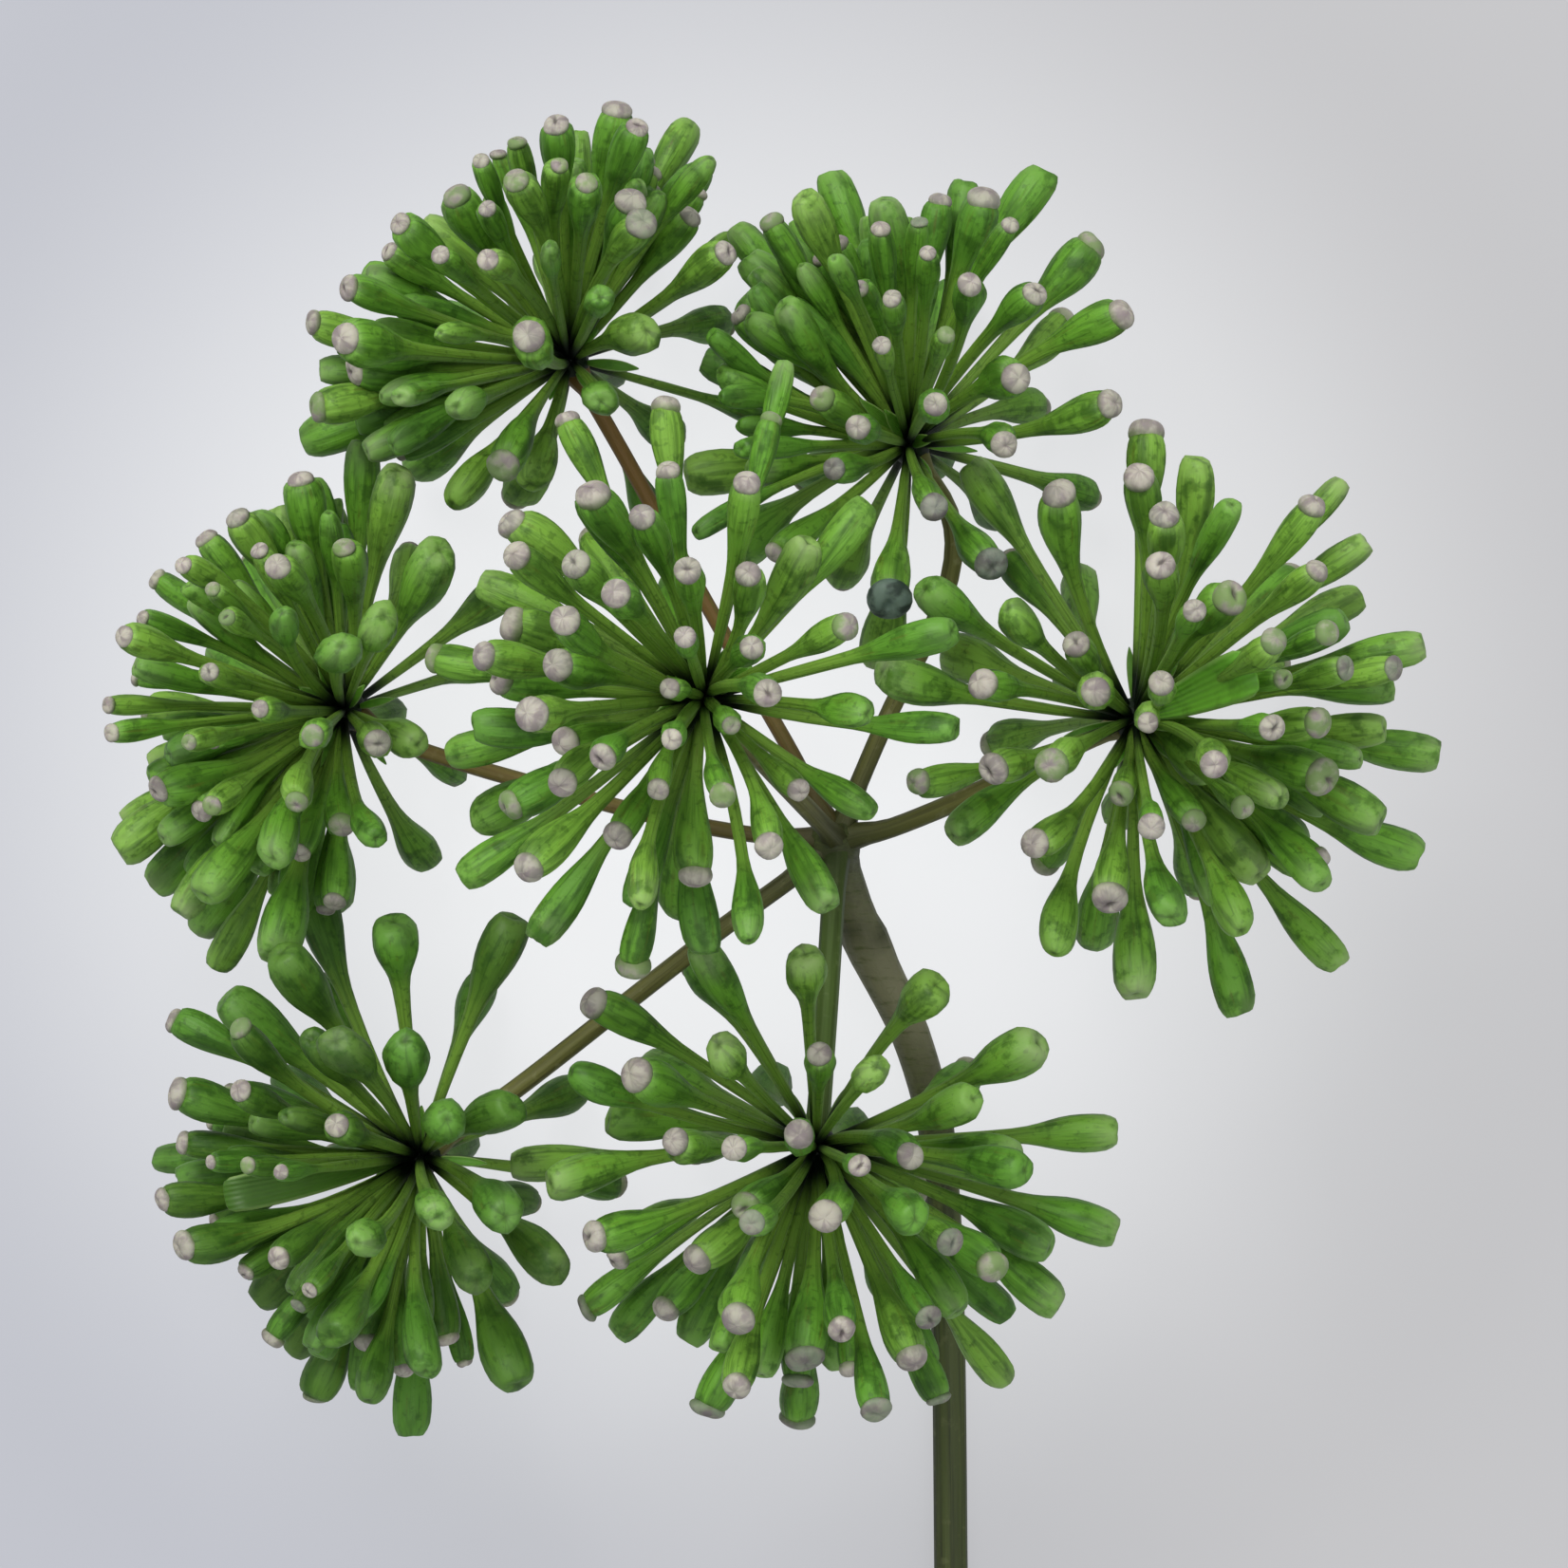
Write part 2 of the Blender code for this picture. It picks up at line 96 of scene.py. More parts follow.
# Shader maths: one socket that sums like a number
class Socket:
    def __init__(self, tree, socket=None):
        self.tree = tree
        self.socket = socket

    def node(self, kind, sockets=None, out=0, **settings):
        made = self.tree.nodes.new("ShaderNode" + kind)
        for name, value in settings.items():
            setattr(made, name, value)
        for name, value in (sockets or {}).items():
            if isinstance(value, Socket):
                self.tree.links.new(value.socket, made.inputs[name])
            else:
                made.inputs[name].default_value = value
        return Socket(self.tree, made.outputs[out])

    def out(self, name):
        return Socket(self.tree, self.socket.node.outputs[name])

    def into(self, surface, name):
        self.tree.links.new(self.socket, surface.inputs[name])

    def maths(self, operation, first, second=0.0):
        return self.node("Math", {0: first, 1: second}, operation=operation)

    def __add__(self, other):
        return self.maths("ADD", self, other)

    def __radd__(self, other):
        return self.maths("ADD", other, self)

    def __sub__(self, other):
        return self.maths("SUBTRACT", self, other)

    def __rsub__(self, other):
        return self.maths("SUBTRACT", other, self)

    def __mul__(self, other):
        return self.maths("MULTIPLY", self, other)

    def __rmul__(self, other):
        return self.maths("MULTIPLY", other, self)

    def step(self, low, high):
        # 0 below low and 1 above high, smooth between; low may be the greater
        sockets = {0: self, 1: low, 2: high, 3: 0.0, 4: 1.0}
        return self.node("MapRange", sockets, interpolation_type="SMOOTHSTEP")

    def mix(self, first, second):
        # first colour where this is 0, second where it is 1
        sockets = {0: self, 6: first, 7: second}
        return self.node("Mix", sockets, out=2, data_type="RGBA", clamp_factor=True)

    def painted(self, name):
        # a value that the piece's own vertices hold
        return self.node("Attribute", out="Fac", attribute_name=name)

    def patches(self, scale, detail, roughness=0.5):
        # noise over the place that this socket gives
        sockets = {"Vector": self, "Scale": scale, "Detail": detail, "Roughness": roughness}
        return self.node("TexNoise", sockets, out="Fac")


def paint(red, green, blue):
    # a colour as a picture shows it, 0 to 255, made linear
    channels = [c / 255 for c in (red, green, blue)]
    linear = [c / 12.92 if c <= 0.04045 else ((c + 0.055) / 1.055) ** 2.4 for c in channels]
    return (*linear, 1.0)


def newMaterial(name, specular, subsurface=0.0, roughness=0.5):
    material = bpy.data.materials.new(name)
    material.use_nodes = True
    surface = material.node_tree.nodes["Principled BSDF"]
    surface.inputs["Roughness"].default_value = roughness
    surface.inputs["Specular IOR Level"].default_value = specular
    surface.inputs["Subsurface Weight"].default_value = subsurface
    surface.inputs["Subsurface Radius"].default_value = (0.5, 1.0, 0.2)
    surface.inputs["Subsurface Scale"].default_value = 0.0012
    return material, Socket(material.node_tree), surface


def pieceCoordinates(start):
    # around and along the piece from its UV map, its own random tone, and the place in the object
    uv = start.node("UVMap", uv_map="UVMap")
    split = start.node("SeparateXYZ", {0: uv})
    tone = start.painted("tone")
    place = start.node("TexCoord", out="Object")
    return split.out("X"), split.out("Y"), tone, place


def streaks(start, around, along, tone, fineness, stretch):
    # noise in lines along the piece, with no seam where it closes round; a greater fineness gives
    # more lines, and a greater stretch shorter ones
    turn = around * (2 * math.pi)
    across = start.maths("COSINE", turn) * fineness
    deep = start.maths("SINE", turn) * fineness
    onward = along * stretch + tone * 43.0  # each floret has its own part of the noise
    way = start.node("CombineXYZ", {"X": across, "Y": deep, "Z": onward})
    return way.patches(1.0, 3.0, 0.6)


def finishMaterial(surface, colour, roughness, relief, strength, depth):
    # the relief is only a bump, as deep as this
    colour.into(surface, "Base Color")
    roughness.into(surface, "Roughness")
    bump = relief.node("Bump", {"Strength": strength, "Distance": depth, "Height": relief})
    bump.into(surface, "Normal")


# In the materials, step() says from where to where a pattern comes up, the factor after it how
# strongly it shows, and mix() what colour it brings
def floretGreen():
    look = {
        "dark": paint(82, 132, 42),
        "lit": paint(95, 147, 44),
        "yellow": paint(116, 159, 58),
        "shaded": paint(74, 110, 34),
        "deep": paint(34, 68, 14),
        "olive": paint(84, 92, 28),
        "pedicel": paint(112, 150, 54),
        "paintedHubShade": paint(8, 22, 6),  # painted shade between the pedicels near the hub, and over the hub itself
        "paleEndAndHighlight": paint(166, 174, 138),
        "eye": paint(46, 70, 22),
        "roughness": (0.38, 0.62),
        "blotchScale": 420.0,
        "speckScale": 1500.0,
    }
    material, start, surface = newMaterial("floretGreen", 0.22, 0.12)
    around, along, tone, place = pieceCoordinates(start)
    fine = streaks(start, around, along, tone, 3.2, 1.5)
    broad = streaks(start, around, along, tone, 0.9, 1.2)
    blotch = place.patches(look["blotchScale"], 4.0, 0.6)
    specks = place.patches(look["speckScale"], 2.0)
    # tone picks among dark, lit, yellow and shaded greens: partly each floret's own tone, partly painted
    # light and shade on the whole floret
    club = tone.step(0.0, 0.5).mix(look["dark"], look["lit"])
    club = tone.step(0.5, 1.0).mix(club, look["yellow"])
    club = tone.step(0.0, -0.8).mix(club, look["shaded"])
    club = (broad.step(0.47, 0.66) * 0.60).mix(club, look["deep"])
    club = (blotch.step(0.53, 0.64) * 0.52).mix(club, look["deep"])
    colour = along.step(0.75, 1.35).mix(look["pedicel"], club)
    body = along.step(1.95, 1.8)  # streaks would meet in a star on the end
    colour = (fine.step(0.48, 0.66) * body * 0.46).mix(colour, look["deep"])
    colour = (fine.step(0.44, 0.30) * body * blotch.step(0.40, 0.60) * 0.5).mix(colour, look["olive"])
    colour = (specks.step(0.58, 0.70) * 0.4).mix(colour, look["deep"])
    pale = start.painted("pale")
    # pale ends: partly the florets' own paler tips, partly a painted highlight
    colour = (pale * blotch.step(0.72, 0.38) * 0.9).mix(colour, look["paleEndAndHighlight"])
    crease = start.painted("crease")
    colour = (crease * 0.8).mix(colour, look["eye"])
    # painted shade: near-black towards the hub, where the pedicels crowd together
    colour = along.step(0.50, 0.21).mix(colour, look["paintedHubShade"])
    low, high = look["roughness"]
    relief = fine * body + blotch * 0.9 + specks * 0.25
    finishMaterial(surface, colour, fine * (high - low) + low, relief, 0.7, 0.00022)
    return material


def budPale():
    look = {
        "pale": paint(178, 171, 160),
        "shade": paint(130, 119, 120),
        "crease": paint(72, 64, 62),
        "base": paint(104, 126, 70),
        "greenish": paint(116, 138, 86),
        "dull": paint(84, 104, 92),
        "dullDark": paint(32, 50, 42),
    }
    material, start, surface = newMaterial("budPale", 0.2, 0.10)
    around, along, tone, place = pieceCoordinates(start)
    fine = streaks(start, around, along, tone, 1.0, 1.1)
    blotch = place.patches(700.0, 4.0)
    crease = start.painted("crease")
    dull = start.painted("dull")
    colour = (fine.step(0.40, 0.64) * 0.85).mix(look["pale"], look["shade"])
    colour = (blotch.step(0.50, 0.66) * 0.7).mix(colour, look["shade"])
    greenish = start.painted("pale")
    colour = (greenish * blotch.step(0.68, 0.40)).mix(colour, look["greenish"])
    colour = (along.step(0.66, 0.15) * (blotch * 1.5)).mix(colour, look["base"])
    # painted shade in the grooves between the lobes and in the seam
    colour = (crease.step(0.3, 1.0) * 0.8).mix(colour, look["crease"])
    dullColour = blotch.step(0.40, 0.62).mix(look["dull"], look["dullDark"])
    colour = dull.mix(colour, dullColour)
    finishMaterial(surface, colour, fine * 0.25 + 0.46, fine + blotch * 0.8, 0.45, 0.00012)
    return material


def bractGreen():
    look = {
        "lit": paint(104, 164, 48),
        "deep": paint(56, 88, 24),
        "edge": paint(124, 152, 84),
    }
    material, start, surface = newMaterial("bractGreen", 0.4, 0.15)
    around, along, tone, place = pieceCoordinates(start)
    way = start.node("CombineXYZ", {"X": around, "Y": along * 0.15, "Z": tone})
    wave = {"Vector": way, "Scale": 2.2, "Distortion": 1.2, "Detail": 2.0}
    veins = start.node("TexWave", wave, out="Fac", bands_direction="X")
    blotch = place.patches(420.0, 3.0)
    colour = (veins * 0.2 + blotch.step(0.45, 0.7) * 0.5).mix(look["lit"], look["deep"])
    colour = (tone.step(1.0, -0.5) * 0.9).mix(colour, look["deep"])
    side = start.maths("ABSOLUTE", around - 0.5)
    colour = (side.step(0.40, 0.5) * 0.7).mix(colour, look["edge"])
    colour = along.step(0.25, 0.0).mix(colour, look["deep"])
    finishMaterial(surface, colour, blotch * 0.3 + 0.35, veins, 0.4, 0.0001)
    return material


# A stalk's colours: light, dark, between its ribs, its bloom, at its knee or along a redder ray, and at
# the node; and how fine its lines are
stalkLooks = {
    "rayOlive": ((106, 108, 52), (74, 80, 32), (54, 54, 20), (136, 136, 92), (116, 88, 44),
                 (42, 48, 20), 2.4),
    "rayGreen": ((92, 120, 52), (66, 92, 34), (50, 70, 22), (120, 140, 84), (104, 104, 50),
                 (42, 48, 20), 2.4),
    "stemGrey": ((70, 80, 34), (48, 56, 22), (36, 40, 16), (92, 98, 58), (118, 116, 88),
                 (42, 46, 20), 3.4),
}


def stalkMaterial(name):
    # rays and stem: fine ribs along, darker between them, with freckles and a grey bloom
    *colours, fineness = stalkLooks[name]
    light, dark, groove, bloom, other, atNode = [paint(*colour) for colour in colours]
    material, start, surface = newMaterial(name, 0.35, 0.05)
    around, along, tone, place = pieceCoordinates(start)
    fine = streaks(start, around, along, tone, fineness, 55.0)
    broad = streaks(start, around, along, tone, 0.7, 18.0)
    freckle = place.patches(900.0, 4.0)
    colour = broad.step(0.38, 0.66).mix(light, dark)
    colour = (fine.step(0.45, 0.68) * 0.7).mix(colour, groove)
    colour = (freckle.step(0.58, 0.72) * 0.5).mix(colour, bloom)
    colour = (tone * broad.step(0.2, 0.5)).mix(colour, other)
    dull = start.painted("dull")
    colour = (dull * 0.92).mix(colour, atNode)
    finishMaterial(surface, colour, fine * 0.3 + 0.42, fine + freckle * 0.4, 0.5, 0.0002)
    return material


def cutPith():
    material, start, surface = newMaterial("cutPith", 0.3, 0.1, 0.7)
    place = start.node("TexCoord", out="Object")
    cells = start.node("TexVoronoi", {"Vector": place, "Scale": 3200.0}, out="Distance")
    noise = place.patches(1500.0, 3.0)
    colour = (cells * 0.8).mix(paint(214, 216, 172), paint(150, 158, 104))
    colour = (noise.step(0.5, 0.7) * 0.5).mix(colour, paint(122, 116, 74))
    colour.into(surface, "Base Color")
    return material


floorLook = {
    "paintedLightPool": (0.79, 0.80, 0.81),  # a painted pool of light under the flower, so that its shadow hardly shows
    "far": (0.400, 0.412, 0.455),
    "farRight": (0.425, 0.424, 0.430),
    "across": (-60 * mm, 55 * mm),
    "beyond": (0.412, 0.418, 0.442),  # past the picture's edge, where the two tints meet
    "fade": (120 * mm, 330 * mm),
    "middle": (740, 790),  # the pixel where it glows most
    "reach": (18 * mm, 86 * mm),
    "plain": paint(92, 92, 95),
    "size": 3.0,  # from its middle to its side
}


def floorPale():
    material, start, surface = newMaterial("floorPale", 0.1, roughness=0.85)
    surface.inputs["Base Color"].default_value = floorLook["plain"]
    surface.inputs["Emission Strength"].default_value = 1.0
    place = start.node("TexCoord", out="Object")
    middle = atPixel(*floorLook["middle"], 0.0)
    away = start.node("VectorMath", {0: place, 1: middle}, out="Value", operation="DISTANCE")
    far = away.step(*floorLook["reach"])
    across = start.node("SeparateXYZ", {0: place}).step(*floorLook["across"])
    edge = across.mix((*floorLook["far"], 1.0), (*floorLook["farRight"], 1.0))
    edge = away.step(*floorLook["fade"]).mix(edge, (*floorLook["beyond"], 1.0))
    # the floor's emission paints the light on it: a pool of light under the flower, fading out to the tints
    # at its edges
    far.mix((*floorLook["paintedLightPool"], 1.0), edge).into(surface, "Emission Color")
    return material


print("materials")
green = floretGreen()
pale = budPale()
leafy = bractGreen()
rayBrown = stalkMaterial("rayOlive")
rayGreen = stalkMaterial("rayGreen")
stemGrey = stalkMaterial("stemGrey")
pith = cutPith()


# Reading the frame: where each floret, ray and stem point stands
reading = {
    "hubReach": 6 * mm,  # faces nearer the hub than this are no floret's end
    "facing": (0.93, 0.985, 0.985),  # how squarely an end faces away from the hub, each time round
    "sameTip": 1.2 * mm,
    "sameSpot": 1.2 * mm,  # a pixel's place and the tip that it names
    "sameWidth": 0.9 * mm,
    "plainArea": 4.8 * mm * mm,  # an end larger than this has no bud
    "sameCorner": 0.002 * mm,
    "onCap": 0.01 * mm,  # how near a corner of a tube's end a point of its first ring is
    "flat": math.radians(1),
}


def mergedCopy(name):
    copy = bmesh.new()
    copy.from_mesh(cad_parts[name].data)
    bmesh.ops.remove_doubles(copy, verts=copy.verts, dist=reading["sameCorner"])
    return copy


def joinFlat(copy):
    # makes one face of the triangles that lie flat together
    bmesh.ops.dissolve_limit(copy, angle_limit=reading["flat"], verts=copy.verts, edges=copy.edges)


def meetingPoint(lines):
    # the point nearest to all the lines, each a point and a way
    total = Matrix.Diagonal((0.0, 0.0, 0.0))
    target = Vector((0.0, 0.0, 0.0))
    for point, way in lines:
        across = Matrix.Identity(3) - Matrix([[a * b for b in way] for a in way])
        total += across
        target += across @ point
    return total.inverted() @ target


def readFlorets(name, nearHub):
    # the hub and the florets' ends, from the CAD umbellet's flat ends
    copy = mergedCopy("umbellet_" + name)
    joinFlat(copy)
    hub = nearHub
    for facing in reading["facing"]:
        ends = []
        for face in copy.faces:
            middle = face.calc_center_median()
            out = middle - hub
            if out.length > reading["hubReach"] and face.normal.dot(out) > facing * out.length:
                ends.append((middle, face.normal.copy(), face.calc_area()))
        hub = meetingPoint([(middle, normal) for middle, normal, area in ends])
    copy.free()
    florets = []
    for middle, normal, area in sorted(ends, key=lambda end: -end[2]):
        tip = hub + normal * (middle - hub).dot(normal)
        if all((tip - other["tip"]).length > reading["sameTip"] for other in florets):
            florets.append({"tip": tip, "budded": area < reading["plainArea"]})
    return hub, florets


def centreLine(name, sides, near):
    # the centres and radii of a CAD tube's rings, from the end face that is nearest to a point
    copy = mergedCopy(name)
    plain = copy.copy()
    joinFlat(plain)
    caps = [face for face in plain.faces if len(face.verts) == sides]
    cap = min(caps, key=lambda face: (face.calc_center_median() - near).length)
    corners = [v.co.copy() for v in cap.verts]
    plain.free()
    level = [v for v in copy.verts
             if min((v.co - corner).length for corner in corners) < reading["onCap"]]
    seen = set(level)
    line = []
    while level:
        centre = sum((v.co for v in level), Vector()) / len(level)
        radius = sum((v.co - centre).length for v in level) / len(level)
        line.append((centre, radius))
        level = list({e.other_vert(v) for v in level for e in v.link_edges} - seen)
        seen.update(level)
    copy.free()
    return line


# Shapes that are spun round their own axis and laid out many times
def spunShape(profile, sides):
    # a closed shape from (height, radius) pairs, with its UV map: around it, and its height
    onAxis = 1e-6  # in metres
    shape = bmesh.new()
    points = [shape.verts.new((radius, 0, height)) for height, radius in profile]
    edges = [shape.edges.new(pair) for pair in zip(points, points[1:])]
    bmesh.ops.spin(shape, geom=points + edges, cent=(0, 0, 0), axis=(0, 0, 1), angle=2 * math.pi,
                   steps=sides, use_merge=True)
    bmesh.ops.remove_doubles(shape, verts=shape.verts, dist=onAxis)
    bmesh.ops.recalc_face_normals(shape, faces=shape.faces)
    layer = shape.loops.layers.uv.new("UVMap")
    for face in shape.faces:
        middle = face.calc_center_median()
        facing = math.atan2(middle.y, middle.x)
        for loop in face.loops:
            spot = loop.vert.co
            turn = facing
            if math.hypot(spot.x, spot.y) > onAxis:
                turn = math.atan2(spot.y, spot.x)
                turn += 2 * math.pi * round((facing - turn) / (2 * math.pi))
            loop[layer].uv = (turn / (2 * math.pi), spot.z)
    for name in ("tone", "pale", "crease", "dull"):
        shape.verts.layers.float.new(name)
    return shape


def asMesh(shape, name):
    mesh = bpy.data.meshes.new(name)
    shape.to_mesh(mesh)
    shape.free()
    return mesh


def addCopy(piece, mesh):
    # the template's vertices, new in the piece
    first = len(piece.verts)
    piece.from_mesh(mesh)
    piece.verts.ensure_lookup_table()
    return piece.verts[first:]


def mark(piece, verts, **values):
    # what the material reads from the vertices
    for name, value in values.items():
        layer = piece.verts.layers.float[name]
        for vert in verts:
            vert[layer] = value


lowest = 0.05 * mm  # nothing reaches below this, so that the flower rests on the surface


def newPiece(bm, name, material, node, levels=1):
    # a finished piece, riding on the body; a second material, as on the stem's cut, stays flat
    bmesh.ops.recalc_face_normals(bm, faces=bm.faces)
    for vert in bm.verts:
        vert.co.z = max(vert.co.z, lowest)
    for face in bm.faces:
        face.smooth = face.material_index == 0
    piece = bpy.data.objects.new(name, asMesh(bm, name))
    piece.data.materials.append(material)
    scene.collection.objects.link(piece)
    if levels:
        subdivision = piece.modifiers.new("subdivision", "SUBSURF")
        subdivision.levels = levels
        subdivision.render_levels = levels
    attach(piece, "root")
    if node:
        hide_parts(node)
    return piece


floretShape = {
    "sides": (7, 8),
    "variants": 8,
    "clubLength": 8.9 * mm,
    "clubShare": 0.60,  # a short floret's club is at most this much of it
    "clubFactor": {"budded": 1.0, "plain": 1.0, "dome": 0.84},
    "clubFrom": 0.9,
    # heights 0 to 1 are the pedicel and 1 to 2 the club; radii in mm
    "profiles": {
        "budded": ((0, 0), (0, 0.32), (0.3, 0.42), (0.7, 0.54), (1, 0.74), (1.2, 1.10), (1.42, 1.66),
                   (1.6, 1.94), (1.77, 1.82), (1.86, 1.42), (1.84, 0)),
        "plain": ((0, 0), (0, 0.32), (0.3, 0.42), (0.7, 0.54), (1, 0.74), (1.2, 1.12), (1.42, 1.72),
                  (1.64, 2.04), (1.88, 1.88), (2.0, 1.35), (2.0, 0.50), (1.98, 0)),
        "dome": ((0, 0), (0, 0.32), (0.3, 0.42), (0.7, 0.52), (1, 0.72), (1.18, 1.14), (1.4, 1.78),
                 (1.60, 2.02), (1.80, 1.84), (1.93, 1.34), (2.0, 0.66), (1.96, 0)),
    },
    "endGap": 0.14,  # from a budded club's end to the floret's tip, as a share of the club
    "domeFacing": 0.45,  # how far an end without a bud faces up before it may be round
    "usualDomeShare": 0.6,
    "domeShare": {"lower_left": 0.35, "lower_centre": 0.3, "right": 0.4, "centre": 0.5},
    "fullness": 1.10,  # what the subdivision takes from the radii
    "usualWidth": 3.8 * mm,  # as it shows, of a club whose width factor is 1
    # clubs overlap in these umbellets, and only a part of their width was read
    "hiddenWidth": {"left": 1.08, "top_left": 1.10, "top_right": 1.08},
    "shortClub": 0.68,
    "ridgeCrease": 0.34,
    "rimCrease": 0.32,
    "rimFrom": 1.85,
    "uneven": 0.10,
    "width": (0.82, 1.08),
    "long": (0.92, 1.06),
    "flatness": (0.78, 1.0),
    "bow": 1.3 * mm,
    "bowFrom": 20 * mm,  # a shorter floret bows less
    # how pale the ends are: partly their own paler tips, partly a painted highlight
    "paleFrom": {"budded": 1.84, "plain": 1.84, "dome": 1.66},
    "paleness": {"budded": 0.5, "plain": 0.5, "dome": 0.36},
    "palest": (0.25, 1.0),
    "darkTone": 0.25,
    "darkPaleness": 0.3,
    "size": {"left": 0.92, "top_left": 0.94, "lower_left": 0.98},
    "kindWidth": {"budded": 1.0, "plain": 1.0, "dome": 0.88},
    # the range of tones in an umbellet, from dark to yellow green
    "tones": {"centre": (0.1, 1.0), "left": (0.3, 1.1), "top_left": (0.2, 1.0), "top_right": (0.1, 1.0),
              "right": (0.4, 1.1), "lower_left": (-0.8, 0.3), "lower_centre": (0.1, 0.9)},
}
budShape = {
    "sides": 10,
    "variants": 8,
    # height above the bud's base and radius, in mm
    "profile": ((0, 0), (0, 1.15), (0.50, 1.48), (1.05, 1.60), (1.60, 1.38), (1.95, 0.90), (2.05, 0.42),
                (1.95, 0)),
    "height": 2.05 * mm,
    "fullness": 1.06,
    "lobes": (2, 3, 5),
    "groove": 0.06,
    "uneven": 0.08,
    "slit": (0.0, 0.30),  # how deep the seam between the closed petals is, as a share of the height
    "seam": (1.5 * mm, 0.5 * mm),  # half its length and half its width
    "outside": 0.58,  # the share of its height that stands out of the club
    "size": (0.90, 1.12),
    # how wide and how tall the buds of an umbellet are beside the others'
    "umbellets": {"left": (0.86, 0.72), "top_left": (0.84, 0.68), "top_right": (0.92, 0.86),
                  "lower_left": (0.88, 0.72)},
    "tilt": 16,  # degrees
}
hubShape = {"radius": 1.9 * mm, "uneven": 0.14}
# Florets nearer the eye are the younger, smaller ones in each umbellet's middle
nearer = {"from": 0.020, "shrink": 4.6, "least": 0.76}


def youth(height):
    return max(nearer["least"], 1 - nearer["shrink"] * max(height - nearer["from"], 0))


def floretTemplates(kind):
    templates = []
    clubFrom = floretShape["clubFrom"]
    paleFrom = floretShape["paleFrom"][kind]
    for number in range(floretShape["variants"]):
        outline = floretShape["profiles"][kind]
        profile = [(height, radius * floretShape["fullness"] * mm) for height, radius in outline]
        shape = spunShape(profile, chance.choice(floretShape["sides"]))
        creases = shape.edges.layers.float.new("crease_edge")
        for edge in shape.edges:
            low, high = sorted(vert.co.z for vert in edge.verts)
            if high - low < 0.01 and low > floretShape["rimFrom"] and kind != "dome":
                edge[creases] = floretShape["rimCrease"]
            elif high - low > 0.01 and low > clubFrom:
                edge[creases] = floretShape["ridgeCrease"]
        ridges = {}
        for vert in shape.verts:
            turn = round(math.atan2(vert.co.y, vert.co.x), 2)
            ridge = ridges.setdefault(turn, chance.uniform(-1, 1) * floretShape["uneven"])
            clubness = min(max(vert.co.z - clubFrom, 0) * 2, 1)
            grow = 1 + clubness * (ridge + chance.uniform(-0.5, 0.5) * floretShape["uneven"])
            vert.co.x *= grow
            vert.co.y *= grow
            rise = (vert.co.z - paleFrom) / (2.0 - paleFrom)
            amount = min(max(rise, 0), 1) ** 0.5
            vert[shape.verts.layers.float["pale"]] = amount * floretShape["paleness"][kind]
            inner = math.hypot(vert.co.x, vert.co.y) < 0.1 * mm
            vert[shape.verts.layers.float["crease"]] = 1.0 if inner and vert.co.z > 1.9 else 0.0
            if vert.co.z > 1.95:
                vert.co.z += chance.uniform(-0.02, 0.01)
        templates.append(asMesh(shape, f"{kind}_{number}"))
    return templates


def budTemplates():
    templates = []
    tall = budShape["height"] / mm
    long, broad = budShape["seam"]
    for number in range(budShape["variants"]):
        wider = mm * budShape["fullness"]
        profile = [(height / tall, radius * wider) for height, radius in budShape["profile"]]
        shape = spunShape(profile, budShape["sides"])
        slit = chance.uniform(*budShape["slit"])
        phase = chance.uniform(0, 2 * math.pi)
        lobes = chance.choice(budShape["lobes"])
        for vert in shape.verts:
            turn = math.atan2(vert.co.y, vert.co.x)
            between = 0.5 - 0.5 * math.cos(lobes * turn + phase)
            top = min(max(vert.co.z - 0.35, 0) / 0.4, 1)
            out = 1 - budShape["groove"] * between * top + chance.uniform(-1, 1) * budShape["uneven"]
            seam = max(0, 1 - abs(vert.co.y) / broad) * max(0, 1 - abs(vert.co.x) / long) * top
            vert.co.x *= out
            vert.co.y *= out
            vert.co.z -= seam * slit - chance.uniform(-0.02, 0.02)
            # crease: where the bud material paints shade, in the grooves and the seam
            vert[shape.verts.layers.float["crease"]] = max(between * top * 0.2, seam * slit * 4)
        templates.append(asMesh(shape, f"bud_{number}"))
    return templates


def turnedAlong(way):
    # points a shape's height this way, and turns it round its own line by chance
    spin = Matrix.Rotation(chance.uniform(0, 2 * math.pi), 3, "Z")
    return way.to_track_quat("Z", "Y").to_matrix() @ spin


def layOut(verts, hub, tip, bowed, club, wide):
    # bends a template's copy along the floret's own line, from the hub to the tip
    way = tip - hub
    length = way.length
    turned = turnedAlong(way)
    side = turned @ Vector((1, 0, 0))
    flat = chance.uniform(*floretShape["flatness"])
    for vert in verts:
        height = vert.co.z
        reach = height * (length - club) if height < 1 else length - club * (2 - height)
        broad = wide if height > floretShape["clubFrom"] else 1.0
        across = turned @ Vector((vert.co.x * broad, vert.co.y * broad * flat, 0))
        share = min(reach / length, 1)
        vert.co = hub + way.normalized() * reach + across + side * bowed * 4 * share * (1 - share)


def layOutBud(verts, hub, tip, wide, tall):
    way = (tip - hub).normalized()
    turned = turnedAlong(way)
    lean = Matrix.Rotation(math.radians(chance.uniform(-1, 1) * budShape["tilt"]), 3, "X")
    base = tip - way * budShape["height"] * tall
    for vert in verts:
        spot = Vector((vert.co.x * wide, vert.co.y * wide, vert.co.z * budShape["height"] * tall))
        vert.co = base + turned @ (lean @ spot)


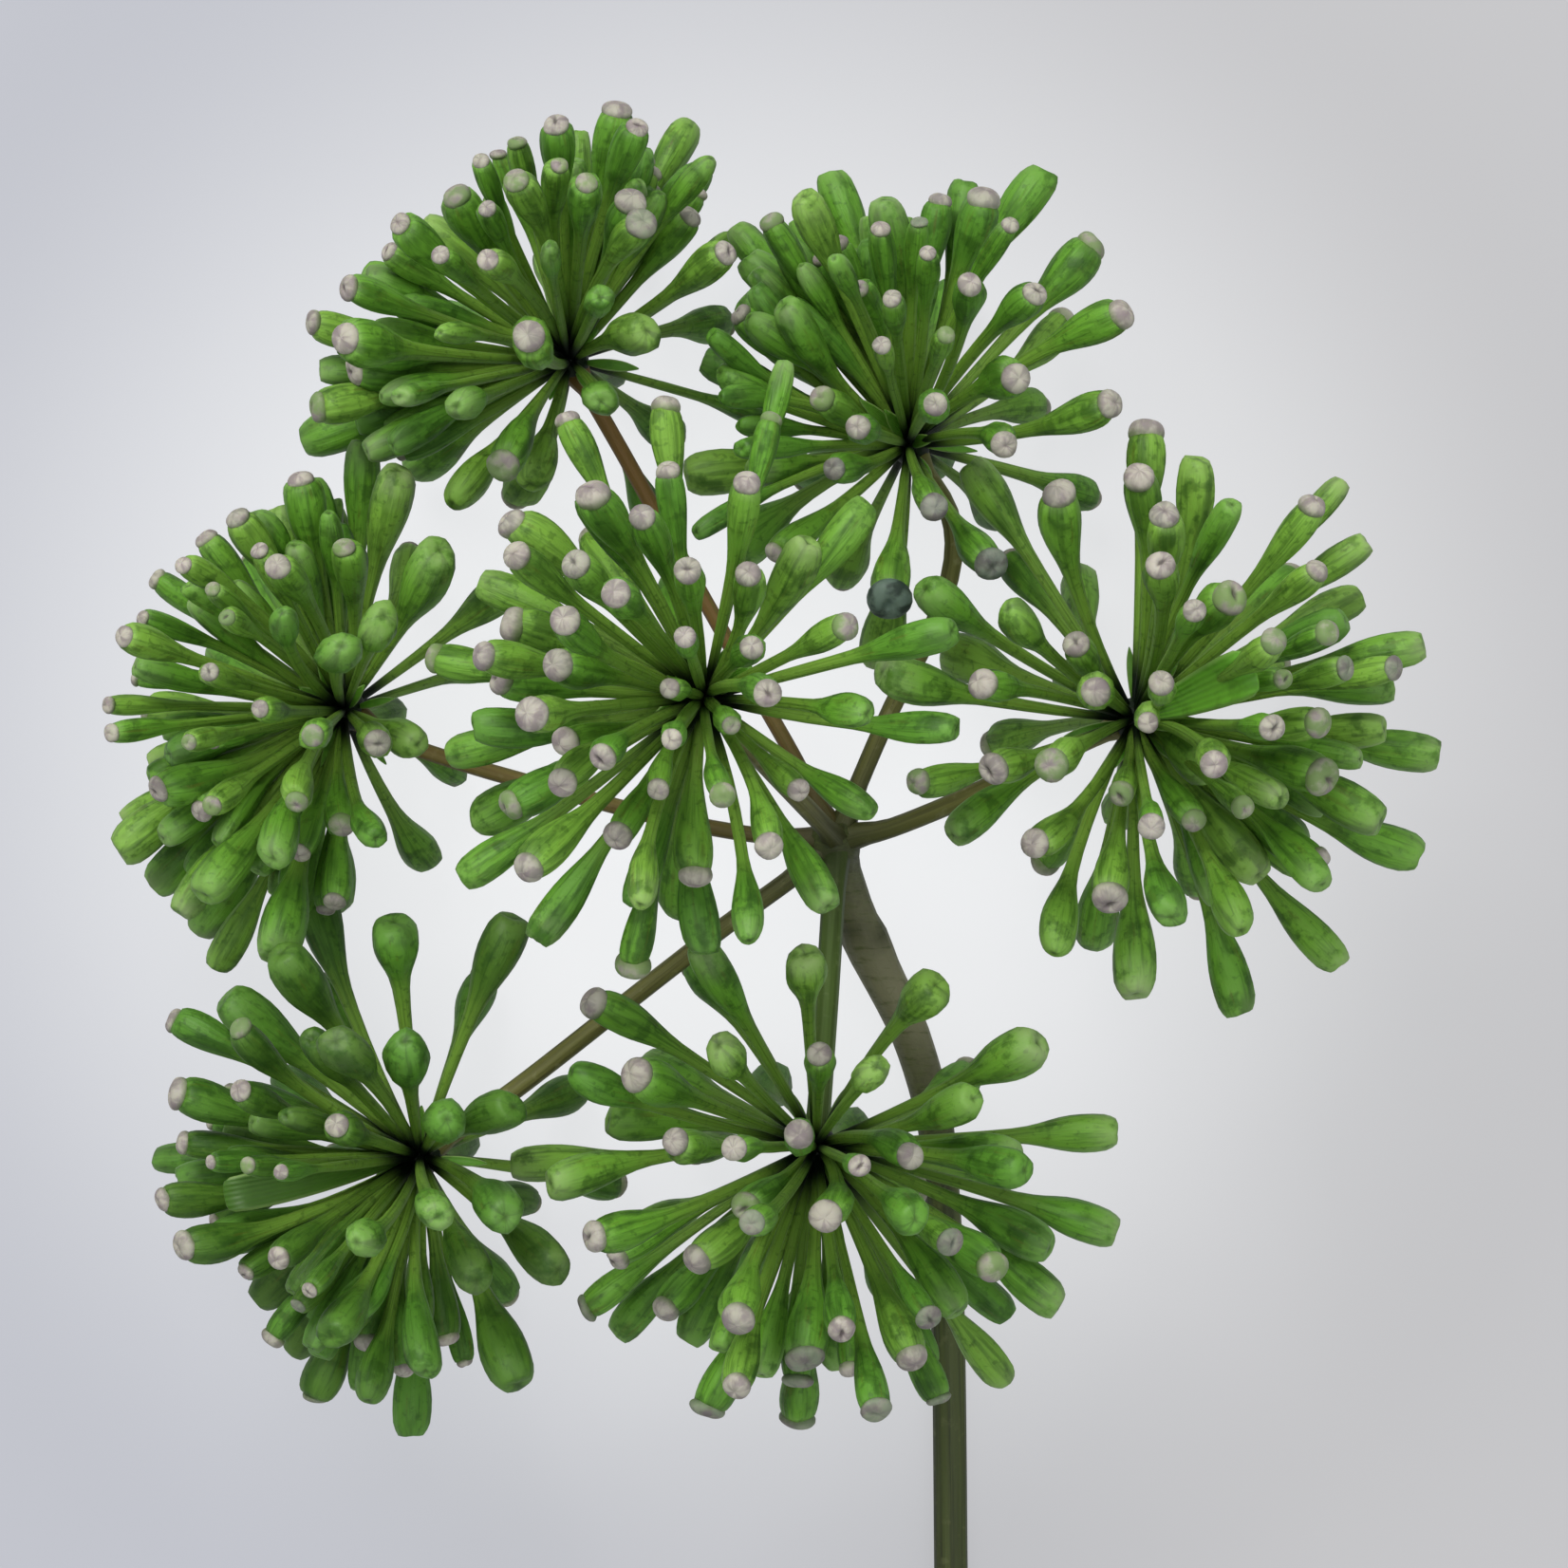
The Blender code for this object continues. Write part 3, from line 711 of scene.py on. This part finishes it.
# How wide a floret's club is in the photograph, in pixels: the ends of those that are as wide
clubWidths = {
    24: (
        (109, 743), (138, 714), (146, 649), (196, 782), (219, 1224), (221, 619), (221, 782), (237, 649),
        (258, 1228), (294, 1235), (462, 350), (505, 165), (522, 158), (578, 258), (612, 138), (733, 562),
        (749, 352), (758, 418), (776, 447), (779, 473), (828, 381), (878, 271), (908, 271), (929, 362),
        (941, 312), (969, 231), (978, 263), (996, 351), (1067, 232),
    ),
    28: (
        (113, 773), (171, 769), (189, 592), (206, 602), (217, 708), (220, 851), (227, 556), (272, 577),
        (273, 747), (297, 645), (300, 1176), (312, 1378), (325, 1361), (396, 884), (405, 262), (420, 418),
        (462, 267), (512, 217), (543, 145), (588, 171), (633, 313), (634, 183), (693, 836), (706, 725),
        (709, 780), (722, 670), (771, 765), (783, 392), (814, 434), (835, 269), (905, 299), (907, 1229),
        (946, 222), (1294, 512), (1355, 714),
    ),
    32: (
        (126, 668), (131, 864), (160, 606), (248, 1148), (512, 272), (762, 841), (808, 227), (876, 496),
        (902, 450), (1022, 295), (1182, 839), (1209, 760), (1224, 720), (1260, 640), (1299, 530),
        (1311, 535), (1313, 853), (1403, 663), (1415, 507), (1440, 570),
    ),
    35: (
        (156, 806), (212, 562), (213, 870), (221, 1292), (244, 888), (248, 540), (248, 1080), (282, 1416),
        (289, 1406), (290, 592), (290, 1329), (311, 846), (323, 338), (327, 534), (329, 776), (360, 874),
        (362, 300), (363, 572), (371, 1388), (384, 288), (396, 296), (418, 232), (429, 387), (440, 785),
        (480, 428), (543, 186), (557, 513), (587, 125), (618, 189), (633, 423), (667, 208), (673, 128),
        (674, 537), (677, 232), (703, 487), (724, 595), (728, 130), (740, 378), (771, 1210), (774, 240),
        (791, 598), (793, 335), (795, 682), (812, 729), (845, 836), (862, 418), (888, 1407), (896, 655),
        (922, 858), (931, 210), (960, 827), (981, 1392), (985, 537), (987, 425), (1004, 1311), (1008, 768),
        (1017, 190), (1061, 467), (1094, 305), (1130, 676), (1215, 874), (1262, 869), (1283, 807),
        (1344, 767), (1346, 675), (1350, 842), (1391, 526), (1393, 598), (1421, 702), (1434, 627),
        (1474, 702),
    ),
    39: (
        (265, 536), (288, 906), (293, 534), (327, 1094), (352, 1186), (399, 783), (698, 417), (707, 1205),
        (728, 1334), (774, 1470), (789, 500), (840, 1193), (840, 1462), (846, 206), (874, 182), (915, 753),
        (924, 1124), (963, 1219), (992, 1479), (1003, 881), (1005, 664), (1030, 722), (1048, 600),
        (1061, 640), (1087, 896), (1102, 180), (1110, 1006), (1177, 424), (1223, 590), (1262, 483),
        (1309, 983), (1394, 932), (1395, 908), (1501, 679),
    ),
    42: (
        (124, 897), (161, 935), (164, 1264), (166, 1220), (177, 1071), (271, 1371), (316, 498), (320, 465),
        (327, 432), (329, 1476), (349, 1409), (367, 387), (372, 436), (375, 1309), (387, 1478), (389, 331),
        (449, 1446), (461, 1282), (475, 532), (477, 200), (578, 1247), (600, 1129), (613, 1383),
        (616, 1050), (619, 1309), (650, 1406), (652, 108), (681, 348), (693, 1387), (724, 1414), (736, 998),
        (774, 1396), (848, 1005), (852, 571), (867, 1286), (935, 640), (964, 1285), (974, 619),
        (1026, 1157), (1056, 1340), (1058, 1455), (1075, 394), (1080, 1233), (1106, 1316), (1178, 1190),
        (1190, 326), (1200, 491), (1229, 535), (1234, 967), (1307, 1069), (1459, 769),
    ),
    46: (
        (179, 1149), (186, 1315), (357, 356), (360, 680), (404, 647), (427, 1094), (432, 1513), (471, 1179),
        (503, 1351), (528, 495), (533, 1283), (540, 966), (541, 1166), (640, 1179), (741, 1492),
        (756, 1100), (840, 1503), (914, 529), (924, 1492), (965, 1441), (1040, 199), (1062, 1387),
        (1113, 510), (1116, 1378), (1156, 250), (1167, 953), (1177, 1298), (1196, 1049), (1208, 441),
        (1327, 923), (1413, 1018), (1455, 865), (1497, 903), (1517, 795),
    ),
    50: (
        (237, 1051), (296, 1003), (353, 1096), (414, 970), (419, 494), (463, 578), (545, 1459), (556, 355),
        (589, 1338), (663, 1128), (986, 1037), (1094, 1098),
    ),
}
# Buds that are still green, dim ones, and the few odd ones: pixel, how grey-green, how large
greenBuds = (
    (814, 434), (448, 692), (771, 765), (529, 853), (762, 841), (662, 1031), (896, 655), (221, 619),
    (237, 649), (149, 749), (196, 782), (220, 851), (311, 846), (360, 874), (329, 776), (363, 572),
    (543, 145), (588, 171), (543, 186), (618, 189), (477, 200), (327, 432), (528, 495), (808, 227),
    (1156, 250), (905, 299), (835, 269), (996, 351), (862, 418), (1299, 624), (1403, 663), (1346, 675),
    (1355, 714), (1395, 760), (1405, 820), (1313, 853), (1182, 839), (1262, 869), (960, 827),
    (1105, 809), (248, 1080), (230, 1155), (258, 1228), (371, 1388), (781, 1273), (1056, 1340),
)
dimBuds = (
    (677, 232), (969, 231), (1474, 702), (1421, 702), (312, 1378), (329, 1476), (791, 1290), (1004, 1311),
    (981, 1392), (992, 1479), (924, 1492), (845, 1440), (840, 1462), (840, 1503), (741, 1492), (613, 1383),
)
oddBuds = (
    ((876, 496), 0.45, 1.0),
    ((935, 640), 0.95, 1.3),
    ((985, 537), 0.5, 1.05),
    ((1048, 600), 0.7, 1.15),
    ((667, 208), 0.15, 1.4),
    ((677, 232), 0.3, 1.3),
)
# Clubs that look up at the eye, and so show short
shortClubs = ((414, 970), (848, 1005), (756, 1100), (924, 1124), (986, 1037), (404, 647))


def near(tip, *pixels):
    # whether the photograph shows this tip at one of the pixels
    return any((tip - atPixel(*pixel, tip.z)).length < reading["sameSpot"] for pixel in pixels)


def measuredWidth(tip):
    # the club's width beside the usual one where the photograph shows it, else None
    best, found = reading["sameWidth"], None
    for pixels, spots in clubWidths.items():
        for spot in spots:
            away = (tip - atPixel(*spot, tip.z)).length
            if away < best:
                across = (atPixel(pixels, 0, tip.z) - atPixel(0, 0, tip.z)).length
                best, found = away, across / floretShape["usualWidth"]
    return found


def budLook(tip):
    # how green, how dull, how large and how tall the bud at this tip is
    greenness = 1.0 if near(tip, *greenBuds) else chance.uniform(0, 0.2)
    dull, tall = chance.uniform(0, 0.15), 1.0
    if near(tip, *dimBuds):
        greenness, dull, tall = 0.5, 0.4, 0.62
    for pixel, amount, size in oddBuds:
        if near(tip, pixel):
            return greenness, amount, size, 1.0
    return greenness, dull, 1.0, tall


def addHub(piece, hub):
    # the hub sphere has no UV map of its own, so the floret material paints it all in the near-black painted
    # hub shade
    made = bmesh.ops.create_icosphere(piece, subdivisions=2, radius=hubShape["radius"],
                                      matrix=Matrix.Translation(hub))["verts"]
    for vert in made:
        vert.co = hub + (vert.co - hub) * (1 + chance.uniform(-1, 1) * hubShape["uneven"])


def floretKind(name, floret, hub):
    kind = "budded" if floret["budded"] else "plain"
    facing = (floret["tip"].z - hub.z) / (floret["tip"] - hub).length
    share = floretShape["domeShare"].get(name, floretShape["usualDomeShare"])
    if kind == "plain" and facing > floretShape["domeFacing"] and chance.random() < share:
        kind = "dome"
    return floret.get("kind", kind)


def clubSize(name, floret, kind, length):
    # the club's width beside the usual one, and its length
    tip = floret["tip"]
    wide = chance.uniform(*floretShape["width"]) * youth(tip.z) * floretShape["size"].get(name, 1.0)
    wide *= floret.get("width", 1.0) * floretShape["kindWidth"][kind]
    measured = measuredWidth(tip)
    if measured:
        wide = measured * floretShape["hiddenWidth"].get(name, 1.0)
    club = floretShape["clubLength"] * chance.uniform(*floretShape["long"]) * floretShape["clubFactor"][kind]
    club = min(club, length * floretShape["clubShare"])
    if near(tip, *shortClubs):
        club *= floretShape["shortClub"]
    return wide, club


def makeUmbellet(name, hub, florets):
    greens = bmesh.new()
    buds = bmesh.new()
    for floret in florets:
        tip = floret["tip"]
        length = (tip - hub).length
        kind = floretKind(name, floret, hub)
        wide, club = clubSize(name, floret, kind, length)
        bowed = floretShape["bow"] * chance.uniform(0, 1) * min(length / floretShape["bowFrom"], 1)
        seat = tip
        if floret["budded"]:
            greenness, dull, odd, flat = budLook(tip)
            broad, tall = budShape["umbellets"].get(name, (1.0, 1.0))
            tall *= flat
            size = wide * odd * chance.uniform(*budShape["size"])
            out = budShape["height"] * size * tall * budShape["outside"]
            seat = tip + (tip - hub).normalized() * (floretShape["endGap"] * club - out)
        verts = addCopy(greens, chance.choice(clubs[kind]))
        layOut(verts, hub, seat, bowed, club, wide)
        tone = floret.get("tone", chance.uniform(*floretShape["tones"].get(name, (0.0, 1.0))))
        paleness = chance.uniform(*floretShape["palest"])
        if tone < floretShape["darkTone"]:
            paleness *= floretShape["darkPaleness"]
        mark(greens, verts, tone=tone)
        for vert in verts:
            vert[greens.verts.layers.float["pale"]] *= paleness
        if floret["budded"]:
            verts = addCopy(buds, chance.choice(knobs))
            layOutBud(verts, hub, tip, size * broad, size * tall)
            mark(buds, verts, tone=tone, dull=dull, pale=greenness)
    addHub(greens, hub)
    newPiece(greens, "florets_" + name, green, "umbellet_" + name)
    newPiece(buds, "buds_" + name, pale, None)


# Small bracts round each hub, and the few larger flaps that show
bractShape = {
    "count": (5, 7),
    "length": (3.0 * mm, 5.5 * mm),
    "width": (0.8 * mm, 1.3 * mm),
    "thickness": 0.16 * mm,
    "arch": 0.18,
    "cup": 0.30,
    "seat": 0.6,  # how far out in the hub it starts
    "foot": 0.16,  # its width at the root and at the tip, beside the widest
    "point": 0.08,
}
flaps = {
    # tip pixel, height above the hub and width in mm, how blunt the tip is, and how light
    "centre": (((792, 702), 4, 1.8, 0, 0.6), ((700, 705), 3, 1.6, 0, 0.5), ((690, 752), 3, 1.8, 0, 0.7)),
    "left": (((384, 722), 5, 1.3, 0, 0.6), ((335, 700), 5, 1.3, 0, 0.6)),
    "right": (((1232, 770), 9, 1.2, 0, 0.8), ((1322, 704), 25, 4.4, 1, 1.0)),
    "top_right": (((932, 432), 7, 1.7, 0, 0.3), ((905, 420), 5, 1.4, 0, 0.2), ((985, 462), 5, 1.4, 0, 0.5)),
    "lower_left": (((236, 1260), 10, 3.8, 0.8, -0.5),),
}


def addFlap(piece, root, tip, width, tone, blunt=0):
    # one leaf-shaped flap from root to tip, cupped and arched
    first = len(piece.verts)
    bmesh.ops.create_grid(piece, x_segments=4, y_segments=5, size=0.5, calc_uvs=True)
    piece.verts.ensure_lookup_table()
    way = tip - root
    side = way.cross(Vector((0, 0, 1))).normalized()
    rise = side.cross(way).normalized()
    for vert in piece.verts[first:]:
        across, share = vert.co.x * 2, vert.co.y + 0.5
        leaf = bractShape["foot"] + 2.1 * share * (1 - share) ** 0.75 if share < 1 else bractShape["point"]
        half = width / 2 * (blunt * (0.15 + 0.85 * share) + (1 - blunt) * leaf)
        lift = way.length * bractShape["arch"] * 2 * share * (1 - share)
        lift += half * bractShape["cup"] * across * across
        vert.co = root + way * share + side * across * half + rise * lift
    mark(piece, piece.verts[first:], tone=tone)


def makeBracts(name, hub):
    piece = bmesh.new()
    piece.loops.layers.uv.new("UVMap")
    piece.verts.layers.float.new("tone")
    count = chance.randint(*bractShape["count"])
    for number in range(count):
        turn = 2 * math.pi * (number + chance.uniform(-0.25, 0.25)) / count
        out = Vector((math.cos(turn), math.sin(turn), chance.uniform(-0.2, 0.7))).normalized()
        length = chance.uniform(*bractShape["length"])
        root = hub + out * hubShape["radius"] * bractShape["seat"]
        addFlap(piece, root, root + out * length, chance.uniform(*bractShape["width"]), chance.random())
    for (x, y), rise, width, blunt, tone in flaps.get(name, ()):
        tip = atPixel(x, y, hub.z + rise * mm)
        addFlap(piece, hub.lerp(tip, 0.1), tip, width * mm, tone, blunt)
    made = newPiece(piece, "bracts_" + name, leafy, None)
    wall = made.modifiers.new("wall", "SOLIDIFY")
    wall.thickness = bractShape["thickness"]
    wall.offset = 0


# Stalks: a ribbed tube along the CAD piece's own middle line
ribUneven = 0.4  # of the ribs' depth


def smoothed(line, step):
    # the line's points and radii on a smooth curve, about a step apart
    rows = [Vector((*point, radius)) for point, radius in line]
    ends = [rows[0] * 2 - rows[1], *rows, rows[-1] * 2 - rows[-2]]
    curve = [rows[0]]
    for a, b, c, d in zip(ends, ends[1:], ends[2:], ends[3:]):
        count = max(1, round((c - b).length / step))
        for number in range(1, count + 1):
            t = number / count
            bent = 2 * b + (c - a) * t + (2 * a - 5 * b + 4 * c - d) * t * t
            curve.append((bent + (3 * b - a - 3 * c + d) * t ** 3) / 2)
    return [(row.to_3d(), row[3]) for row in curve]


def addStalk(piece, line, sides, ribDepth):
    # a ribbed tube: each ring is extruded from the last and turned with the line. Gives back the
    # layers for its tone and for its dark places
    around = piece.verts.layers.float.new("around")
    along = piece.verts.layers.float.new("along")
    ring = bmesh.ops.create_circle(piece, segments=sides, radius=1.0)["verts"]
    for vert in ring:
        vert[around] = (math.atan2(vert.co.y, vert.co.x) / (2 * math.pi)) % 1.0
        rib = math.cos(vert[around] * math.pi * sides)
        vert.co *= 1 + ribDepth * rib + chance.uniform(-1, 1) * ribDepth * ribUneven
    edges = list(piece.edges)
    turned, last = None, Matrix.Identity(4)
    run = 0.0
    for number, (point, radius) in enumerate(line):
        before, after = line[max(number - 1, 0)][0], line[min(number + 1, len(line) - 1)][0]
        tangent = (after - before).normalized()
        if turned is None:
            turned = tangent.to_track_quat("Z", "Y")
        else:
            extruded = bmesh.ops.extrude_edge_only(piece, edges=edges)["geom"]
            ring = [item for item in extruded if isinstance(item, bmesh.types.BMVert)]
            edges = [item for item in extruded if isinstance(item, bmesh.types.BMEdge)]
            turned = (turned @ Vector((0, 0, 1))).rotation_difference(tangent) @ turned
            run += (point - line[number - 1][0]).length
        here = Matrix.Translation(point) @ turned.to_matrix().to_4x4() @ Matrix.Scale(radius, 4)
        bmesh.ops.transform(piece, matrix=here @ last.inverted(), verts=ring)
        last = here
        for vert in ring:
            vert[along] = run
    rims = [edge for edge in piece.edges if edge.is_boundary]
    bmesh.ops.holes_fill(piece, edges=rims, sides=0)
    layer = piece.loops.layers.uv.new("UVMap")
    for face in piece.faces:
        turns = [loop.vert[around] for loop in face.loops]
        wraps = max(turns) - min(turns) > 0.5
        for loop, turn in zip(face.loops, turns):
            loop[layer].uv = (turn + 1 if wraps and turn < 0.5 else turn, loop.vert[along])
    return piece.verts.layers.float.new("tone"), piece.verts.layers.float.new("dull")


rayShape = {
    "sides": 16,
    "step": 1.6 * mm,
    "ribDepth": 0.05,
    "radius": 0.78 * mm,
    "radii": {"top_left": 0.64 * mm, "left": 0.66 * mm, "lower_centre": 0.95 * mm},
    "hubEnd": (1.2 * mm, 2.4 * mm),  # how wide it grows at the hub, and over what length
    "nodeEnd": (1.45 * mm, 6.0 * mm),
    "tones": {"top_left": 1.0, "left": 0.5},
    "usualTone": 0.1,
    "darkOver": 14 * mm,  # the length beside the node that is darker
}
stemShape = {
    "sides": 24,
    "step": 1.6 * mm,
    "ribDepth": 0.035,
    "rim": 0.35 * mm,
    "sunk": 0.25 * mm,
    "knee": (59 * mm, 34 * mm),  # between these places along y it is grey
    "darkOver": 3.5 * mm,
    "scar": (51.4 * mm, 1.5 * mm, 0.9),  # a dark ring: where, how far it fades and how dark it is
    "cutSlant": 0.45,
    # y, how far it stands left of the CAD stem there, and its width beside the CAD stem's
    "bend": ((62 * mm, 0.0, 1.0), (57 * mm, 0.8 * mm, 0.82), (53 * mm, 1.1 * mm, 0.84),
             (51 * mm, 1.15 * mm, 1.06), (48 * mm, 1.0 * mm, 0.98), (43 * mm, 0.5 * mm, 1.0),
             (35 * mm, 0.0, 1.0)),
}


def makeRay(name, hub, node):
    line = centreLine("ray_" + name, 6, hub)
    path = [hub.lerp(line[0][0], 0.4), *(point for point, radius in line), node]
    slim = rayShape["radii"].get(name, rayShape["radius"])
    curve = smoothed([(point, slim) for point in path], rayShape["step"])
    total = sum((b[0] - a[0]).length for a, b in zip(curve, curve[1:]))
    run = 0.0
    shaped = []
    for number, (point, radius) in enumerate(curve):
        if number:
            run += (point - curve[number - 1][0]).length
        for end, (wide, over) in ((run, rayShape["hubEnd"]), (total - run, rayShape["nodeEnd"])):
            share = min(end / over, 1)
            radius += (wide - slim) * (1 - share) ** 2
        shaped.append((point, radius))
    piece = bmesh.new()
    tone, dull = addStalk(piece, shaped, rayShape["sides"], rayShape["ribDepth"])
    for vert in piece.verts:
        vert[tone] = rayShape["tones"].get(name, rayShape["usualTone"])
        vert[dull] = max(0, 1 - (vert.co - node).length / rayShape["darkOver"])
    material = rayGreen if name == "lower_centre" else rayBrown
    newPiece(piece, "ray_shaped_" + name, material, "ray_" + name, 0)


def bentStem(point, radius):
    # the stem near its node as the photograph shows it: further left, slim, and thick at the scar
    bend = stemShape["bend"]
    if not bend[-1][0] < point.y < bend[0][0]:
        return point, radius
    for (high, highOut, highWide), (low, lowOut, lowWide) in zip(bend, bend[1:]):
        if low <= point.y <= high:
            share = (high - point.y) / (high - low)
            out = highOut + (lowOut - highOut) * share
            return point - Vector((out, 0, 0)), radius * (highWide + (lowWide - highWide) * share)


def makeStem(line, node):
    curve = [bentStem(point, radius) for point, radius in smoothed(line, stemShape["step"])]
    piece = bmesh.new()
    tone, dull = addStalk(piece, curve, stemShape["sides"], stemShape["ribDepth"])
    end, way = curve[0][0], (curve[1][0] - curve[0][0]).normalized()
    for vert in piece.verts:
        if (vert.co - end).length < 1.2 * curve[0][1]:  # the cut's own ring
            vert.co += way * (vert.co.z - end.z) * stemShape["cutSlant"]
    top, bottom = stemShape["knee"]
    scar, fade, darkest = stemShape["scar"]
    for vert in piece.verts:
        share = (top - vert.co.y) / (top - bottom)
        vert[tone] = max(0, 1 - abs(share * 2 - 1)) ** 0.6
        atNode = 1 - (vert.co - node).length / stemShape["darkOver"]
        vert[dull] = max(0, atNode, darkest - abs(vert.co.y - scar) / fade)
    caps = [face for face in piece.faces if len(face.verts) > 4]
    cut = min(caps, key=lambda face: face.calc_center_median().y)
    for thickness, depth in ((stemShape["rim"], 0), (stemShape["rim"] * 0.3, -stemShape["sunk"])):
        bmesh.ops.inset_region(piece, faces=[cut], thickness=thickness, depth=depth)
        cut.material_index = 1
    made = newPiece(piece, "stem_shaped", stemGrey, "main_stem", 0)
    made.data.materials.append(pith)


def makeFloor():
    floor = bmesh.new()
    bmesh.ops.create_grid(floor, x_segments=1, y_segments=1, size=floorLook["size"])
    piece = bpy.data.objects.new("floor", asMesh(floor, "floor"))
    piece.data.materials.append(floorPale())
    scene.collection.objects.link(piece)
    piece.visible_diffuse = False  # a backdrop, not a lamp under the flower
    piece.visible_glossy = False


# Plain soft light: a pale sky, and two large soft lamps on the far side
lights = {
    "sky": (0.95, 0.965, 1.0),
    "skyStrength": 0.54,
    "lamps": {
        "top": {"at": (0.0, 0.10, 1.8), "size": 2.4, "power": 11.0, "colour": (0.98, 0.99, 1.0)},
        "key": {"at": (-0.30, 0.75, 0.90), "size": 0.6, "power": 10.5, "colour": (1.0, 0.985, 0.95)},
        "fill": {"at": (0.7, -0.5, 1.1), "size": 1.2, "power": 2.5, "colour": (0.96, 0.98, 1.0)},
    },
}


def addLights():
    world = bpy.data.worlds.new("sky")
    world.use_nodes = True
    background = world.node_tree.nodes["Background"]
    background.inputs["Color"].default_value = (*lights["sky"], 1)
    background.inputs["Strength"].default_value = lights["skyStrength"]
    scene.world = world
    for name, lamp in lights["lamps"].items():
        data = bpy.data.lights.new(name, "AREA")
        data.shape = "DISK"
        data.size = lamp["size"]
        data.energy = lamp["power"]
        data.color = lamp["colour"]
        holder = bpy.data.objects.new(name, data)
        holder.location = lamp["at"]
        aim = Vector((0, eyeY, 0.02)) - Vector(lamp["at"])
        holder.rotation_euler = aim.to_track_quat("-Z", "Y").to_euler()
        scene.collection.objects.link(holder)


# A short floret near a hub that the CAD model leaves out: pixel, rise above the hub, width, tone
shortFlorets = {"right": (((1272, 812), 12 * mm, 0.95, 0.8),)}
# Florets at the back that would show where the photograph has none
leftOut = ((817, 1037), (1041, 1041), (423, 1071))
# Florets that look up and still end in a club
longClubs = ((1094, 1098), (1026, 1157), (1156, 1180), (652, 108), (556, 355), (528, 495))
# How dark (0 and less) or yellow (1) a floret is, where it differs from its neighbours
floretTones = {
    -0.9: ((327, 1094), (353, 1096), (589, 1338), (300, 1176)),
    0.0: ((793, 335), (740, 378), (733, 562), (432, 1513)),
    0.2: ((749, 352), (783, 392), (758, 418), (776, 447), (779, 473), (297, 645), (396, 884), (1005, 664),
          (1008, 768), (964, 1285), (1234, 967), (414, 970)),
    0.4: ((828, 381), (814, 434), (461, 1282), (375, 1309), (360, 680)),
    0.7: ((914, 529), (556, 355), (1026, 1157), (1094, 1098), (404, 647)),
    0.9: ((852, 571), (848, 1005), (986, 1037), (924, 1124), (1440, 570), (1415, 507)),
}
# Shorter florets that thicken a side of an umbellet: count, and the side's angle and reach in degrees
fillers = {
    "centre": (4, 200, 80),
    "left": (26, 185, 95),
    "top_left": (28, 125, 85),
    "top_right": (26, 160, 80),
    "right": (8, 340, 50),
    "lower_left": (20, 225, 60),
    "lower_centre": (8, 280, 80),
}
fillerLook = {
    "rise": (-0.1, 0.6),
    "length": (0.70, 0.92),
    "width": (0.70, 0.90),
    "tone": (0.0, 0.7),
    "darker": {"lower_left": 0.6},
    "tries": 60,
    "buddedShare": 0.3,
    "beside": 0.96,  # the cosine to a neighbour that must reach further out
    "inside": -0.5 * mm,
    "lowest": 3.5 * mm,
}


def markFlorets(florets):
    for floret in florets:
        for tone, pixels in floretTones.items():
            if near(floret["tip"], *pixels):
                floret["tone"] = tone
        if not floret["budded"] and near(floret["tip"], *longClubs):
            floret["kind"] = "plain"


def addFillers(name, hub, florets):
    count, middle, reach = fillers[name]
    lengths = sorted((floret["tip"] - hub).length for floret in florets)
    usual = lengths[len(lengths) // 2]
    for number in range(count):
        ways = [(floret["tip"] - hub).normalized() for floret in florets]
        best, room = None, 0
        for attempt in range(fillerLook["tries"]):
            turn = math.radians(middle + chance.uniform(-1, 1) * reach)
            rise = chance.uniform(*fillerLook["rise"])
            flat = math.sqrt(1 - rise * rise)
            way = Vector((flat * math.cos(turn), flat * math.sin(turn), rise))
            free = min((way - other).length for other in ways)
            side = Vector((math.cos(turn), math.sin(turn), 0))
            reached = [(floret["tip"] - hub).dot(side) for floret, other in zip(florets, ways)
                       if other.dot(side) > fillerLook["beside"] * other.to_2d().length]
            if free > room and reached and max(reached) > flat * usual + fillerLook["inside"]:
                best, room = way, free
        if not best:
            continue
        tip = hub + best * usual * chance.uniform(*fillerLook["length"])
        if tip.z > fillerLook["lowest"]:
            florets.append({"tip": tip, "budded": chance.random() < fillerLook["buddedShare"],
                            "width": chance.uniform(*fillerLook["width"]),
                            "tone": chance.uniform(*fillerLook["tone"]) - fillerLook["darker"].get(name, 0)})


umbellets = [name.removeprefix("umbellet_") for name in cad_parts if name.startswith("umbellet_")]
stemLine = centreLine("main_stem", 8, Vector((0, cadLow.y, 0)))
node = max(stemLine[len(stemLine) // 2:], key=lambda ring: ring[1])[0]
print("stem", len(stemLine), [round(c / mm, 1) for c in node])
clubs = {kind: floretTemplates(kind) for kind in floretShape["profiles"]}
knobs = budTemplates()

for name in umbellets:
    lows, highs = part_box("umbellet_" + name)
    hub, florets = readFlorets(name, Vector(lows).lerp(Vector(highs), 0.5))
    florets = [floret for floret in florets if not near(floret["tip"], *leftOut)]
    for pixel, rise, width, tone in shortFlorets.get(name, ()):
        florets.append({"tip": atPixel(*pixel, hub.z + rise), "budded": False, "width": width,
                        "kind": "plain", "tone": tone})
    markFlorets(florets)
    addFillers(name, hub, florets)
    makeUmbellet(name, hub, florets)
    makeBracts(name, hub)
    makeRay(name, hub, node)
    print("umbellet", name, "florets", len(florets))
makeStem(stemLine, node)
print("floor, lights and camera")
makeFloor()
addLights()
addCamera()
scene.view_settings.view_transform = "Standard"
